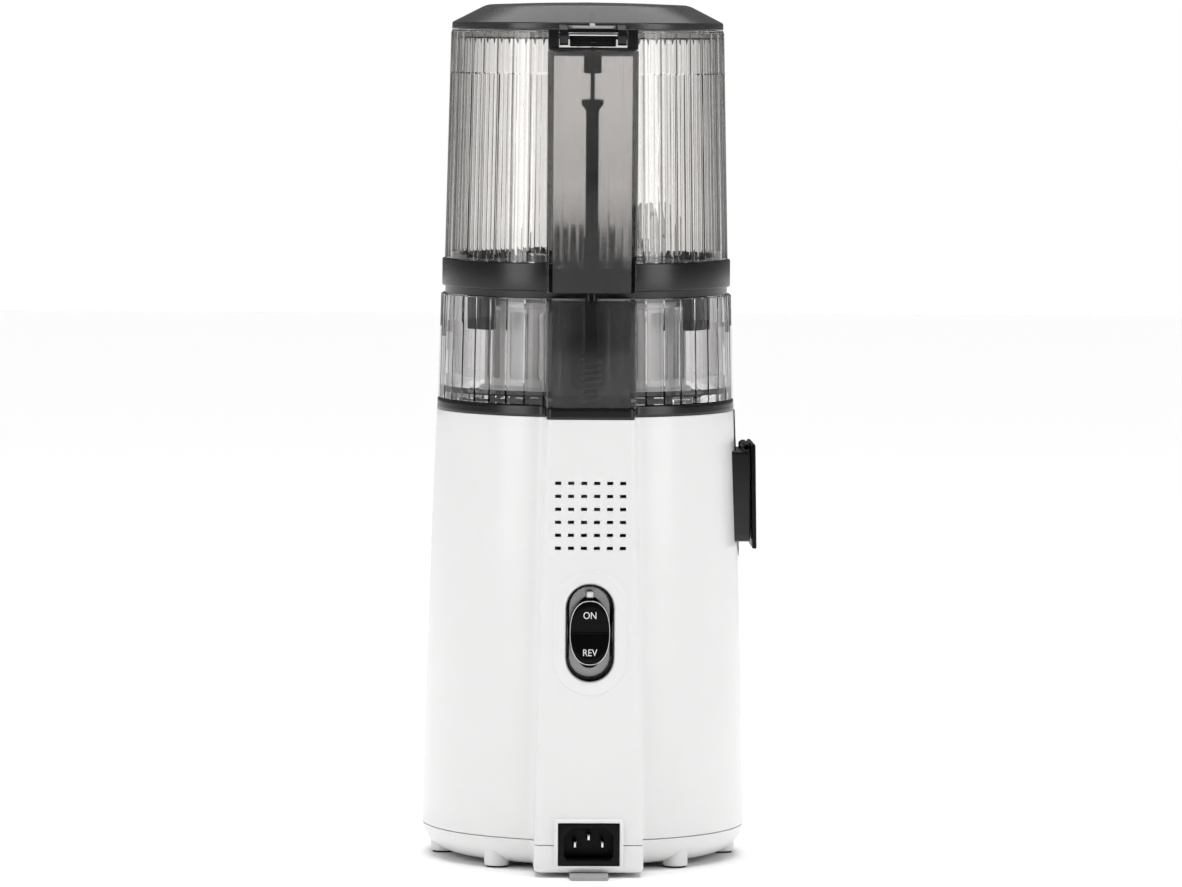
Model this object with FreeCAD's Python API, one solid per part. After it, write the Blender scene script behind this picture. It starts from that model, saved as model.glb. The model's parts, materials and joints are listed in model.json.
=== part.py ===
import FreeCAD, Part
import math
import os

os.makedirs("parts", exist_ok=True)

# A tall slow juicer. Millimetres. The origin is on the auger axis at the ground.
# +Z is up, -Y is the front with the juice spout, +Y is the back with the switch
# and the power inlet, -X is the side with the pulp spout.

GAP = 0.2                 # air gap between neighbours that move apart
RUN = 0.05                # radial clearance of a running fit
EXTRA = 1.0               # how far a cutting tool overshoots

# Housing
FLOOR_Z = 2.5             # underside of the base cover
SEAM_Z = 16.6             # line between base cover and body shell
SEAM_GAP = 0.2
SHELL_TOP_Z = 233.0
DECK_TOP_Z = 238.8
WALL = 2.5
FORM_FLOOR_R = 68.0       # flat part of the underside
FORM_LOW_R = 84.1
FORM_LOW_Z = 19.0
FORM_MID_R = 81.35
FORM_MID_Z = 125.0
FORM_TOP_R = 77.15
SPINE_LOW_Y = 103.0       # back face of the spine at the floor
SPINE_TOP_Y = 96.0
SPINE_LOW_HALF = 28.0
SPINE_TOP_HALF = 22.5
SPINE_EDGE_R = 3.0
SPINE_ROOT_Y = 20.0

# Feet and rear tab
FOOT_SPOTS = [(46, 59), (73, 0), (46, -59), (-46, -59), (-73, 0), (-46, 59)]
FOOT_BOSS_R = 6.5
FOOT_BOSS_TOP_Z = 12.0
FOOT_R = 5.5
FOOT_Z = 1.0
TAB_HALF = 9.8
TAB_FRONT_Y = 86.0
TAB_BACK_Y = 114.0

# Housing screws
SCREW_SPOTS = [(62, 46), (62, -46), (-62, -46), (-62, 46)]
SCREW_BOSS_R = 5.0
SCREW_BOSS_TOP_Z = 42.0
SCREW_HEAD_R = 3.2
SCREW_HEAD_LOW_Z = 9.5
SCREW_HEAD_TOP_Z = 12.0
SCREW_SHANK_R = 1.6
SCREW_TOP_Z = 36.0

# Air slots in the base cover
SLOT_COUNT = 7
SLOT_PITCH = 9.0
SLOT_HALF_Y = 30.0

# Vents in the spine
VENT_COUNT = 6
VENT_PITCH = 6.6
VENT_CENTRE_Z = 184.3
VENT_W = 3.0
VENT_H = 1.6

# Control switch
SWITCH_Z = 124.8
WELL_W = 23.7
WELL_H = 48.9
PAD_W = 38.1
PAD_H = 63.2
PAD_PROUD = 0.4
BEZEL_WALL = 1.1
BEZEL_PROUD = 0.7
BEZEL_FLOOR_Y = -9.0
BEZEL_BACK_Y = -10.5
ROCKER_W = 20.2
ROCKER_H = 31.2
ROCKER_FACE_Y = 0.6
ROCKER_DIP = 1.2
ROCKER_BACK_Y = -4.5
ROCKER_PIVOT_Y = -6.0
ROCKER_RIDGE_R = 0.7
PIVOT_R = 1.5
PIVOT_HALF = 11.6        # the pivot pins reach into the bezel walls
STEM_HALF_W = 5.0
STEM_HALF_H = 3.5
STEM_END_Y = -12.0
STEM_SLOT_HALF_W = 6.0
STEM_SLOT_HALF_H = 6.5
STEM_SLOT_END_Y = -15.0
SWITCH_BODY_HALF_W = 9.0
SWITCH_BODY_HALF_H = 14.0
SWITCH_BODY_END_Y = -26.0
TAG_HALF_T = 0.4          # spade terminals, half thickness and half width
TAG_HALF_W = 2.4
TAG_LENGTH = 7.0
SWITCH_TAG_XS = (-5, 5)
SWITCH_TAG_ZS = (-9, 0, 9)

# Power inlet, a standard three-pin appliance inlet
INLET_Z = 17.1
INLET_HALF_W = 15.6
INLET_HALF_H = 10.9
INLET_FACE_Y = 103.2
INLET_END_Y = 82.0
RECESS_HALF_W = 12.45
RECESS_HALF_H = 7.85
RECESS_CORNER = 4.0
RECESS_DEPTH = 16.0
LIP_W = 2.2
LIP_PROUD_Y = 104.0
PIN_HALF_SPACING = 7.0
PIN_LOW_Z = 16.9
PIN_EARTH_Z = 20.6
PIN_HALF_THICK = 1.0
PIN_HALF_HIGH = 2.0
PIN_TIP_Y = 100.5
PIN_TAIL_Y = 74.0

# Motor
MOTOR_R = 41.0
STATOR_LOW_Z = 68.0
STATOR_TOP_Z = 117.0
STATOR_BORE_R = 26.2
STATOR_SLOTS = 6
SLOT_R = 4.0
SLOT_RADIUS = 31.0
WINDING_OUT_R = 38.0
WINDING_IN_R = 28.5
WINDING_LENGTH = 9.0
ROTOR_R = 25.5
ROTOR_LOW_Z = 69.0
ROTOR_TOP_Z = 116.0
SHAFT_R = 4.0
SHAFT_LOW_Z = 44.0
SHAFT_STEP_Z = 161.0
SHAFT_TOP_Z = 172.5
FRAME_WALL = 2.8
LOW_FRAME_Z = 42.0
LOW_FRAME_PLATE = 4.0
UP_FRAME_TOP_Z = 136.0
UP_FRAME_PLATE = 4.0
FRAME_BOSS_R = 14.0
BEARING_OUT_R = 11.0
BEARING_LENGTH = 7.0
LOW_BEARING_Z = 46.0
UP_BEARING_Z = 137.0
FAN_LOW_Z = 56.5
FAN_R = 25.0
FAN_HUB_R = 8.0
FAN_PLATE = 1.5
FAN_BLADE_H = 6.5
FAN_BLADES = 8
FAN_BLADE_T = 1.2
POST_R = 4.0
POST_RADIUS = 34.0
POST_COUNT = 4
FRAME_WINDOWS = 6
FRAME_WINDOW_HALF = 7.0
FRAME_WINDOW_EDGE = 4.0
PLATE_WINDOWS = 4
PLATE_WINDOW_NEAR = 18.0
PLATE_WINDOW_FAR = 30.0
PLATE_WINDOW_HALF = 5.0

# Gear train, two stages that bring the output back to the motor axis
CENTRE_DISTANCE = 30.0
STAGE1_MODULE = 0.8
STAGE1_PINION = 12
STAGE1_GEAR = 63
STAGE2_MODULE = 1.0
STAGE2_PINION = 10
STAGE2_GEAR = 50
STAGE1_LOW_Z = 163.0
STAGE1_TOP_Z = 171.0
STAGE2_LOW_Z = 176.0
STAGE2_TOP_Z = 188.0
WEB_WINDOWS = 6
LAY_WEB = (7.0, 21.0)     # hub radius and rim radius of the web
OUTPUT_WEB = (10.5, 20.5)
SMALL_HEX = 5.0           # across flats
PRESSURE = math.radians(20)
ADDENDUM = 0.8
DEDENDUM = 1.25
BACKLASH = 0.30           # in modules
FLANK_STEPS = 4
UNDERCUT = 0.75
LAY_LOW_Z = 156.5
LAY_TOP_Z = 197.0
LAY_HEX_LOW_Z = 162.0
LAY_HEX_TOP_Z = 189.0
GEARBOX_COVER_Z = 154.0
GEARBOX_LOW_Z = 160.0
GEARBOX_TOP_Z = 206.0
GEARBOX_R = 36.0
GEARBOX_INNER_R = 30.0
GEARBOX_ROOF = 6.0
LAY_BOSS_R = 8.0

# Output shaft
OUTPUT_R = 7.0
OUTPUT_LOW_Z = 175.0
OUTPUT_HEX_TOP_Z = 189.0
OUTPUT_STEP_Z = 242.0
OUTPUT_TOP_Z = 262.0
OUTPUT_HEX = 12.0         # across flats
OUTPUT_BEARING_R = 12.0
OUTPUT_BEARING_SPOTS = [199.0, 220.0]
SEAL_LOW_Z = 228.5
SEAL_TOP_Z = 236.0
SEAL_R = 11.0

# Mounts that hang the gearbox under the deck
HANGER_SPOTS = [(-20, 28), (-20, -28), (44, 26), (44, -26)]
HANGER_R = 6.0
HANGER_RUBBER_TOP_Z = 216.0

# Deck
DECK_BOSS_R = 16.0
DECK_BOSS_LOW_Z = 218.0
SPIGOT_LOW_Z = 228.0
SPIGOT_INSET = 2.6
SPIGOT_THICK = 2.4

# Pulp path
PULP_HOLE_NEAR_X = -33.0
PULP_HOLE_FAR_X = -46.0
PULP_HOLE_HALF_Y = 12.0
CHUTE_HALF_Y = 20.0
CHUTE_WALL = 2.0
CHUTE_NEAR_X = -31.0
CHUTE_FAR_X = -71.6
CHUTE_BEND_X = -50.0
CHUTE_BEND_Z = 209.0
CHUTE_LOW_Z = 164.8
CHUTE_TOP_Z = 212.1
SPOUT_END_X = -85.5
FLAP_LOW_Z = 161.6
FLAP_TOP_Z = 215.9
FLAP_T = 2.2
FLAP_HALF_Y = 22.5
FLAP_LEAN = 1.0           # how far the lower edge stands out
FLAP_PIN_R = 1.2
FLAP_PIN_Z = 214.0
FLAP_PIN_X = -83.5
FLAP_EAR_R = 1.9
FLAP_EAR_Y = 15.0
FLAP_EAR_W = 5.0
FLAP_EYE_HALF = 9.0

# Apron panel around the spouts
APRON_LOW_Z = 156.0
APRON_PROUD = 0.6
APRON_DEEP = 1.0
APRON_START = 174.0       # degrees around the axis from +X
APRON_END = 318.0

# Electrics inside
BOARD_HALF_W = 18.0
BOARD_LOW_Z = 46.0
BOARD_TOP_Z = 92.0
BOARD_Y = 80.0
BOARD_T = 1.6
BOARD_MARGIN = 3.0
BOARD_POST_R = 2.5
CAPACITOR = (6.0, 14.0, -9.0, 58.0)    # radius, length, x and z on the board
CHOKE = (7.5, 9.0, 8.0, 80.0)
RELAY = (2.0, 15.0, 12.0, 50.0, 64.0)  # x from and to, depth, z from and to
CHIP = (-13.0, -4.0, 3.0, 74.0, 84.0)
MICRO_HALF_W = 10.0
MICRO_LOW_Z = 205.0
MICRO_TOP_Z = 221.0
MICRO_HALF_Y = 5.0
MICRO_HANGER_HALF = 2.0
MICRO_TAG_XS = (-6, 0, 6)
MICRO_TAG_HALF_W = 2.0
MICRO_TAG_LENGTH = 6.0

# Interlock rods behind the drum and hopper
ROD_Y = 84.5
PLUNGER_R = 2.6
PLUNGER_TOP_Z = 243.6
PLUNGER_HOLE_R = 3.2
PLUNGER_COLLAR_T = 2.0
LOW_ROD_R = 3.1
LOW_ROD_LOW_Z = 243.8
LOW_ROD_TOP_Z = 297.6
LOW_ROD_FLANGE_R = 6.0
LOW_ROD_FLANGE_Z = 264.0
LOW_ROD_FLANGE_T = 2.0
SPRING_R = 5.0
SPRING_WIRE_R = 0.45
SPRING_TURNS = 7
UP_ROD_LOW_Z = 297.8
UP_ROD_FOOT_R = 3.75
UP_ROD_FOOT_TOP_Z = 326.0
UP_ROD_R = 3.1
UP_ROD_TAPER_Z = 389.0
UP_ROD_FLANGE_LOW_Z = 392.0
UP_ROD_FLANGE_TOP_Z = 394.4
UP_ROD_FLANGE_R = 5.3
UP_ROD_TIP_R = 1.05
UP_ROD_TOP_Z = 421.8
GUIDE_R = 4.3
GUIDE_LOW_Z = 407.8

# Channel that covers the rods
CHANNEL_HALF = 23.0
CHANNEL_WALL = 3.0
CHANNEL_BACK_Y = 95.0
CHANNEL_ROOT_Y = 60.0
CHANNEL_LOW_Z = 297.2
CHANNEL_TOP_Z = 420.0
CHANNEL_ROOF = 3.0
DRUM_CHANNEL_FLOOR = 3.0

# Drum
FACETS = 45
DRUM_TOP_Z = 293.3
DRUM_LOW_R = 76.8
DRUM_TOP_R = 75.6
DRUM_WALL = 2.8
DRUM_FLOOR = 4.0
DRUM_TUBE_IN_R = 9.0
DRUM_TUBE_OUT_R = 11.5
DRUM_TUBE_TOP_Z = 250.0
DRUM_SEAL_R = 12.8
DRUM_SEAL_LOW_Z = 243.4
DRUM_SEAL_TOP_Z = 249.0

# Filter and auger
FILTER_IN_R = 50.0
FILTER_T = 1.4
FILTER_FOOT_R = 56.0
FILTER_FOOT_IN_R = 48.8
FILTER_FOOT_H = 3.2
FILTER_TOP_Z = 290.0
FILTER_RIM_R = 61.0
FILTER_RIM_H = 3.0
FILTER_WINDOWS = 16
WINDOW_W = 13.0
WINDOW_LOW_Z = 250.0
WINDOW_TOP_Z = 284.0
WINDOW_REACH = 5.0
MESH_INSET = 0.5
AUGER_LOW_Z = 244.0
AUGER_LOW_R = 31.0
AUGER_TOP_Z = 292.0
AUGER_TOP_R = 17.0
AUGER_NECK_R = 12.0
AUGER_NECK_LOW_Z = 296.0
AUGER_NECK_TOP_Z = 304.0
AUGER_SIDES = 36
AUGER_RECESS_R = 14.2
AUGER_RECESS_TOP_Z = 251.4
FLIGHT_R = 47.8
FLIGHT_T = 3.5
FLIGHT_TURNS = 1.25
FLIGHT_STARTS = 3
FLIGHT_STEPS = 30
FLIGHT_LOW_Z = 246.6
FLIGHT_TOP_Z = 284.0
FLIGHT_ROOT = 2.5         # how deep a thread sits in the core
SOCKET_R = 10.0
SOCKET_TOP_Z = 266.0
SOCKET_HEX = 12.4
SOCKET_HOLE_TOP_Z = 263.0

# Cutting wing on top of the auger
WING_HUB_R = 12.0
WING_HUB_TOP_Z = 334.0
WING_TIP_R = 6.0
WING_REACH = 40.5
WING_SHOULDER = 34.0
WING_LOW_Z = 314.0
WING_TOP_Z = 341.0
WING_T = 2.6
WING_TIP_H = 15.0
WING_CREST = 8.0
WING_ROOT_H = 8.0
WING_SHORT_REACH = 36.0
WING_SHORT_SHOULDER = 27.0
WING_SHORT_TIP_H = 4.0
WING_SHORT_TOP_Z = 322.0

# Hopper
HOPPER_LOW_Z = 311.5
HOPPER_FACET_TOP_Z = 427.5
HOPPER_TOP_Z = 430.2
HOPPER_LOW_R = 73.7
HOPPER_TOP_R = 71.0
HOPPER_WALL = 2.6
STEP_Z = 407.7
STEP_INSET = 0.8
RIM_INSET = 0.4
RIM_STEP_H = 0.6

# Collar between drum and hopper
COLLAR_R = 75.0
COLLAR_LOW_Z = 297.2
COLLAR_PLATE_LOW_Z = 305.0
COLLAR_IN_R = 47.0
COLLAR_SKIRT_IN_R = 70.0
NECK_R = 73.4
NECK_LOW_Z = 293.5
LUG_ANGLES = [35, 145, 215, 325]
LUG_R_IN = 63.5
LUG_R_OUT = 69.5
LUG_HALF_W = 8.5
LUG_LOW_Z = 276.0
LUG_TOP_Z = 299.5
LUG_BRIDGE_Z = 296.5
TOOTH_COUNT = 45
TOOTH_H = 2.4
TOOTH_IN_R = 66.0
TOOTH_OUT_R = 70.0
TOOTH_W = 4.6
TOOTH_BAND = 2.0
TOOTH_SET_BACK = 0.6

# Lid and its hinge
LID_R = 70.5
LID_LOW_Z = 430.4
LID_RIM_Z = 433.8
LID_CONE_R = 52.3
LID_CONE_Z = 443.2
LID_CROWN_Z = 444.5
LID_WALL = 2.6
LID_SKIRT_OUT_R = 67.2
LID_SKIRT_IN_R = 65.0
LID_SKIRT_LOW_Z = 425.5
GASKET_R = 67.9
GASKET_LOW_Z = 426.5
GASKET_TOP_Z = 429.0
HINGE_Y = 88.0
HINGE_Z = 428.0
HINGE_PIN_R = 1.1
HINGE_PIN_HALF = 23.0
KNUCKLE_IN_X = 17.3
KNUCKLE_R = 3.4
BRACKET_T = 1.5
BRACKET_FRONT_Y = 76.5
ARM_IN_X = 12.6
ARM_OUT_X = 17.0
ARM_R = 3.0
ARM_ROOT_Y = 64.5
ARM_DROP_Y = 73.5
ARM_DROP_Z = 427.5
ARM_LOBE_FRONT_Y = 85.2
ARM_LOBE_BACK_Y = 90.4
ARM_LOBE_Z = 422.6
STRIKER_HALF = 11.8
STRIKER_LOW_Z = 422.0
STRIKER_TOP_Z = 427.4
STRIKER_FRONT_Y = 79.0
STRIKER_BACK_Y = 86.5
STRIKER_PEG_R = 1.4
STRIKER_PEG_Z = 424.4

# Juice spout
JUICE_Z = 254.0
JUICE_OUT_R = 11.0
JUICE_IN_R = 8.0
JUICE_ROOT_Y = -70.0
JUICE_END_Y = -104.0
JUICE_FLANGE_R = 14.0
JUICE_FLANGE_T = 2.0
CAP_R = 12.5
CAP_T = 3.0
CAP_PLUG_R = 7.4
CAP_PLUG_L = 4.0
CAP_PIN_Z = 269.0
CAP_PIN_Y = -102.0
CAP_PIN_R = 1.2
CAP_PIN_HALF = 8.0
CAP_EAR_R = 3.0
CAP_EAR_IN_X = 4.2
CAP_EAR_ROOT = 6.0
CAP_EYE_R = 2.4
CAP_LEVER_HALF = 5.0
CAP_LEVER_LOW_Z = 232.0


def vec(x, y, z):
    return FreeCAD.Vector(x, y, z)


def box(x0, x1, y0, y1, z0, z1):
    return Part.makeBox(x1 - x0, y1 - y0, z1 - z0, vec(x0, y0, z0))


def disc(radius, z0, z1, x=0.0, y=0.0):
    return Part.makeCylinder(radius, z1 - z0, vec(x, y, z0))


def ring(outer, inner, z0, z1, x=0.0, y=0.0):
    return disc(outer, z0, z1, x, y).cut(disc(inner, z0 - EXTRA, z1 + EXTRA, x, y))


def rod_x(radius, x0, x1, y, z):
    return Part.makeCylinder(radius, x1 - x0, vec(x0, y, z), vec(1, 0, 0))


def rod_y(radius, y0, y1, x, z):
    return Part.makeCylinder(radius, y1 - y0, vec(x, y0, z), vec(0, 1, 0))


def join(shapes):
    first = shapes[0]
    return first.fuse(shapes[1:]).removeSplitter()


def turned(shape, degrees):
    copy = shape.copy()
    copy.rotate(vec(0, 0, 0), vec(0, 0, 1), degrees)
    return copy


def ring_points(count, radius, z, phase=0.0, x=0.0, y=0.0):
    points = []
    for index in range(count):
        angle = phase + 2 * math.pi * index / count
        points.append(vec(x + radius * math.cos(angle), y + radius * math.sin(angle), z))
    return points


def closed_face(points):
    return Part.Face(Part.makePolygon(points + [points[0]]))


def stacked_solid(levels):
    """A solid with flat sides through rings of points, lowest first."""
    faces = [closed_face(levels[0]), closed_face(levels[-1])]
    count = len(levels[0])
    for low, high in zip(levels, levels[1:]):
        for index in range(count):
            after = (index + 1) % count
            faces.append(closed_face([low[index], low[after], high[after], high[index]]))
    return Part.makeSolid(Part.makeShell(faces))


def faceted(count, radii_and_heights, phase=0.0):
    return stacked_solid([ring_points(count, r, z, phase) for r, z in radii_and_heights])


def hex_bar(across_flats, z0, z1, x=0.0, y=0.0):
    radius = across_flats / math.sqrt(3)
    low = ring_points(6, radius, z0, 0.0, x, y)
    high = ring_points(6, radius, z1, 0.0, x, y)
    return stacked_solid([low, high])


def revolved(outline):
    """Turn an outline of (radius, z) corners about the auger axis."""
    points = [vec(r, 0, z) for r, z in outline]
    return closed_face(points).revolve(vec(0, 0, 0), vec(0, 0, 1), 360)


def save(name, shape):
    shape.exportStep("parts/%s.step" % name)


def arc_edge(start, middle, end):
    return Part.Arc(start, middle, end).toShape()


def round_form(inset):
    """The turned part of the housing, all its faces moved in by the inset."""
    low_z = FLOOR_Z + inset
    floor = vec(FORM_FLOOR_R - inset, 0, low_z)
    low = vec(FORM_LOW_R - inset, 0, FORM_LOW_Z)
    reach = low.x - floor.x
    drop = FORM_LOW_Z - low_z
    diagonal = math.sin(math.radians(45))
    corner = vec(floor.x + reach * diagonal, 0, FORM_LOW_Z - drop * diagonal)
    middle = vec(FORM_MID_R - inset, 0, FORM_MID_Z)
    top = vec(FORM_TOP_R - inset, 0, DECK_TOP_Z)
    edges = [Part.makeLine(vec(0, 0, low_z), floor),
             arc_edge(floor, corner, low),
             arc_edge(low, middle, top),
             Part.makeLine(top, vec(0, 0, DECK_TOP_Z)),
             Part.makeLine(vec(0, 0, DECK_TOP_Z), vec(0, 0, low_z))]
    return Part.Face(Part.Wire(edges)).revolve(vec(0, 0, 0), vec(0, 0, 1), 360)


def spine_face_y(z):
    share = (z - FLOOR_Z) / (SHELL_TOP_Z - FLOOR_Z)
    return SPINE_LOW_Y + share * (SPINE_TOP_Y - SPINE_LOW_Y)


def spine_outline(z, inset):
    share = (z - FLOOR_Z) / (SHELL_TOP_Z - FLOOR_Z)
    half = SPINE_LOW_HALF + share * (SPINE_TOP_HALF - SPINE_LOW_HALF) - inset
    back = spine_face_y(z) - inset
    radius = max(SPINE_EDGE_R - inset, RUN)
    bow = radius * (1 - math.cos(math.radians(45)))
    flat = half - radius
    side = back - radius
    edges = [Part.makeLine(vec(-half, SPINE_ROOT_Y, z), vec(half, SPINE_ROOT_Y, z)),
             Part.makeLine(vec(half, SPINE_ROOT_Y, z), vec(half, side, z)),
             arc_edge(vec(half, side, z), vec(half - bow, back - bow, z), vec(flat, back, z)),
             Part.makeLine(vec(flat, back, z), vec(-flat, back, z)),
             arc_edge(vec(-flat, back, z), vec(bow - half, back - bow, z), vec(-half, side, z)),
             Part.makeLine(vec(-half, side, z), vec(-half, SPINE_ROOT_Y, z))]
    return Part.Wire(edges)


def spine_form(inset):
    low = spine_outline(FLOOR_Z + inset, inset)
    high = spine_outline(DECK_TOP_Z, inset)
    spine = Part.makeLoft([low, high], True, True)
    if inset > 0:
        return spine
    low_edges = []
    for edge in spine.Edges:
        at_floor = edge.BoundBox.ZMax < FLOOR_Z + RUN
        if at_floor and edge.BoundBox.YMax > SPINE_ROOT_Y + EXTRA:
            low_edges.append(edge)
    return spine.makeFillet(WALL, low_edges)


def housing_form(inset):
    return join([round_form(inset), spine_form(inset)])


def slab(z0, z1):
    size = 2 * SPINE_LOW_Y
    return box(-size, size, -size, size, z0, z1)


def on_spine(shape, z):
    """Move a shape from switch coordinates, face at y = 0, onto the sloping spine."""
    lean = math.degrees(math.atan2(SPINE_LOW_Y - SPINE_TOP_Y, SHELL_TOP_Z - FLOOR_Z))
    moved = shape.copy()
    moved.rotate(vec(0, 0, 0), vec(1, 0, 0), lean)
    moved.translate(vec(0, spine_face_y(z), z))
    return moved


def stadium(width, height, y0, y1):
    """An upright long round shape in the x-z plane, between two depths."""
    radius = width / 2
    straight = height / 2 - radius
    middle = box(-radius, radius, y0, y1, -straight, straight)
    caps = [rod_y(radius, y0, y1, 0, straight), rod_y(radius, y0, y1, 0, -straight)]
    return join([middle] + caps)


def upright_edges_at(shape, y):
    """The vertical edges on a shape's back face."""
    return [e for e in shape.Edges if e.BoundBox.YMin > y - RUN and e.BoundBox.ZLength > EXTRA]


def at_each(spots, make):
    return [make(x, y) for x, y in spots]


def inlet_block(grow, y0, y1):
    return box(-INLET_HALF_W - grow, INLET_HALF_W + grow, y0, y1,
               INLET_Z - INLET_HALF_H - grow, INLET_Z + INLET_HALF_H + grow)


def inlet_lip():
    return inlet_block(LIP_W, SPINE_TOP_Y, LIP_PROUD_Y)


def apron_sector():
    """A wedge around the axis that covers the apron's angles."""
    reach = 2 * FORM_LOW_R
    points = [vec(0, 0, APRON_LOW_Z)]
    steps = 8
    for index in range(steps + 1):
        angle = math.radians(APRON_START + (APRON_END - APRON_START) * index / steps)
        points.append(vec(reach * math.cos(angle), reach * math.sin(angle), APRON_LOW_Z))
    return closed_face(points).extrude(vec(0, 0, SHELL_TOP_Z - APRON_LOW_Z))


def chute_opening():
    """The hole in the shell and apron that the pulp spout passes through."""
    return box(-2 * FORM_LOW_R, CHUTE_BEND_X, -CHUTE_HALF_Y, CHUTE_HALF_Y, CHUTE_LOW_Z, CHUTE_TOP_Z)


def shell_wall():
    """The hollow housing wall, from base to deck, before it is split."""
    outside = join([housing_form(0), inlet_lip()])
    return outside.cut(housing_form(WALL))


def body_shell(wall):
    low_z = SEAM_Z + SEAM_GAP
    shell = wall.common(slab(low_z, SHELL_TOP_Z))
    pad = on_spine(stadium(PAD_W, PAD_H, -WALL / 2, PAD_PROUD), SWITCH_Z)
    bosses = at_each(SCREW_SPOTS, lambda x, y: disc(SCREW_BOSS_R, low_z, SCREW_BOSS_TOP_Z, x, y))
    inside = [boss.common(round_form(WALL / 2)) for boss in bosses]
    shell = join([shell, pad] + inside)
    cuts = [on_spine(stadium(WELL_W, WELL_H, -2 * WALL, WALL), SWITCH_Z),
            inlet_block(0, 0, 2 * SPINE_LOW_Y)]
    cuts += at_each(SCREW_SPOTS, lambda x, y: disc(SCREW_SHANK_R, 0, SCREW_TOP_Z, x, y))
    half_count = (VENT_COUNT - 1) / 2
    for row in range(VENT_COUNT):
        for column in range(VENT_COUNT):
            x = (column - half_count) * VENT_PITCH
            z = VENT_CENTRE_Z + (row - half_count) * VENT_PITCH
            cuts.append(box(x - VENT_W / 2, x + VENT_W / 2, SPINE_TOP_Y - 2 * WALL, SPINE_LOW_Y,
                            z - VENT_H / 2, z + VENT_H / 2))
    cuts.append(apron_sector().cut(round_form(APRON_DEEP)))
    cuts.append(chute_opening())
    return shell.cut(cuts)


def base_cover(wall):
    cover = wall.common(slab(0, SEAM_Z))
    feet = at_each(FOOT_SPOTS, lambda x, y: disc(FOOT_BOSS_R, FOOT_Z, FOOT_BOSS_TOP_Z, x, y))
    feet = [foot.cut(round_form(WALL)) for foot in feet]
    bosses = at_each(SCREW_SPOTS, lambda x, y: disc(SCREW_BOSS_R, FLOOR_Z, SEAM_Z, x, y))
    bosses = [boss.common(round_form(WALL / 2)) for boss in bosses]
    cover = join([cover] + feet + bosses)
    cuts = [inlet_block(0, 0, 2 * SPINE_LOW_Y)]
    cuts += at_each(SCREW_SPOTS, lambda x, y: disc(SCREW_HEAD_R, 0, SCREW_HEAD_TOP_Z, x, y))
    cuts += at_each(SCREW_SPOTS, lambda x, y: disc(SCREW_SHANK_R, 0, SEAM_Z + EXTRA, x, y))
    for index in range(SLOT_COUNT):
        x = (index - (SLOT_COUNT - 1) / 2) * SLOT_PITCH
        cuts.append(box(x - VENT_W / 2, x + VENT_W / 2, -SLOT_HALF_Y, SLOT_HALF_Y, 0, 2 * FLOOR_Z + EXTRA))
    return cover.cut(cuts)


def rubber_feet():
    return Part.makeCompound(at_each(FOOT_SPOTS, lambda x, y: disc(FOOT_R, 0, FOOT_Z, x, y)))


def rear_stand_tab():
    tab = box(-TAB_HALF, TAB_HALF, TAB_FRONT_Y, TAB_BACK_Y, 0, FLOOR_Z)
    return tab.makeFillet(SPINE_EDGE_R, upright_edges_at(tab, TAB_BACK_Y))


def housing_screws():
    def screw(x, y):
        head = disc(SCREW_HEAD_R, SCREW_HEAD_LOW_Z, SCREW_HEAD_TOP_Z, x, y)
        drive = disc(SCREW_SHANK_R, SCREW_HEAD_LOW_Z - EXTRA, SCREW_HEAD_LOW_Z + EXTRA, x, y)
        shank = disc(SCREW_SHANK_R, SCREW_HEAD_TOP_Z - EXTRA, SCREW_TOP_Z, x, y)
        return join([head.cut(drive), shank])
    return Part.makeCompound(at_each(SCREW_SPOTS, screw))


def top_deck():
    ring_part = housing_form(0).common(slab(SHELL_TOP_Z, DECK_TOP_Z))
    spigot = housing_form(SPIGOT_INSET).common(slab(SPIGOT_LOW_Z, SHELL_TOP_Z))
    spigot = spigot.cut(housing_form(SPIGOT_INSET + SPIGOT_THICK))
    boss = disc(DECK_BOSS_R, DECK_BOSS_LOW_Z, SHELL_TOP_Z)
    hangers = at_each(HANGER_SPOTS, lambda x, y: disc(HANGER_R, HANGER_RUBBER_TOP_Z, SHELL_TOP_Z, x, y))
    deck = join([ring_part, spigot, boss] + hangers)
    bearing_z = OUTPUT_BEARING_SPOTS[1]
    cuts = [disc(OUTPUT_BEARING_R, 0, bearing_z + BEARING_LENGTH),
            disc(OUTPUT_R + 2 * EXTRA, 0, DECK_TOP_Z + EXTRA),
            disc(SEAL_R, SEAL_LOW_Z, DECK_TOP_Z + EXTRA),
            disc(PLUNGER_HOLE_R, 0, DECK_TOP_Z + EXTRA, 0, ROD_Y),
            box(PULP_HOLE_FAR_X, PULP_HOLE_NEAR_X, -PULP_HOLE_HALF_Y, PULP_HOLE_HALF_Y,
                SPIGOT_LOW_Z, DECK_TOP_Z + EXTRA)]
    return deck.cut(cuts)


def spout_apron():
    panel = round_form(-APRON_PROUD).cut(round_form(APRON_DEEP)).common(apron_sector())
    return panel.cut(chute_opening())


def switch_bezel():
    outside = stadium(WELL_W, WELL_H, BEZEL_BACK_Y, 0)
    flange = stadium(WELL_W + 2 * BEZEL_WALL, WELL_H + 2 * BEZEL_WALL, PAD_PROUD, BEZEL_PROUD)
    outside = join([outside, stadium(WELL_W, WELL_H, -EXTRA, BEZEL_PROUD), flange])
    hollow = stadium(WELL_W - 2 * BEZEL_WALL, WELL_H - 2 * BEZEL_WALL, BEZEL_FLOOR_Y, EXTRA)
    slot = box(-STEM_SLOT_HALF_W, STEM_SLOT_HALF_W, BEZEL_BACK_Y - EXTRA, 0,
               -STEM_SLOT_HALF_H, STEM_SLOT_HALF_H)
    sockets = rod_x(PIVOT_R + RUN, -WELL_W / 2, WELL_W / 2, ROCKER_PIVOT_Y, 0)
    return on_spine(outside.cut([hollow, slot, sockets]), SWITCH_Z)


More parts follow.
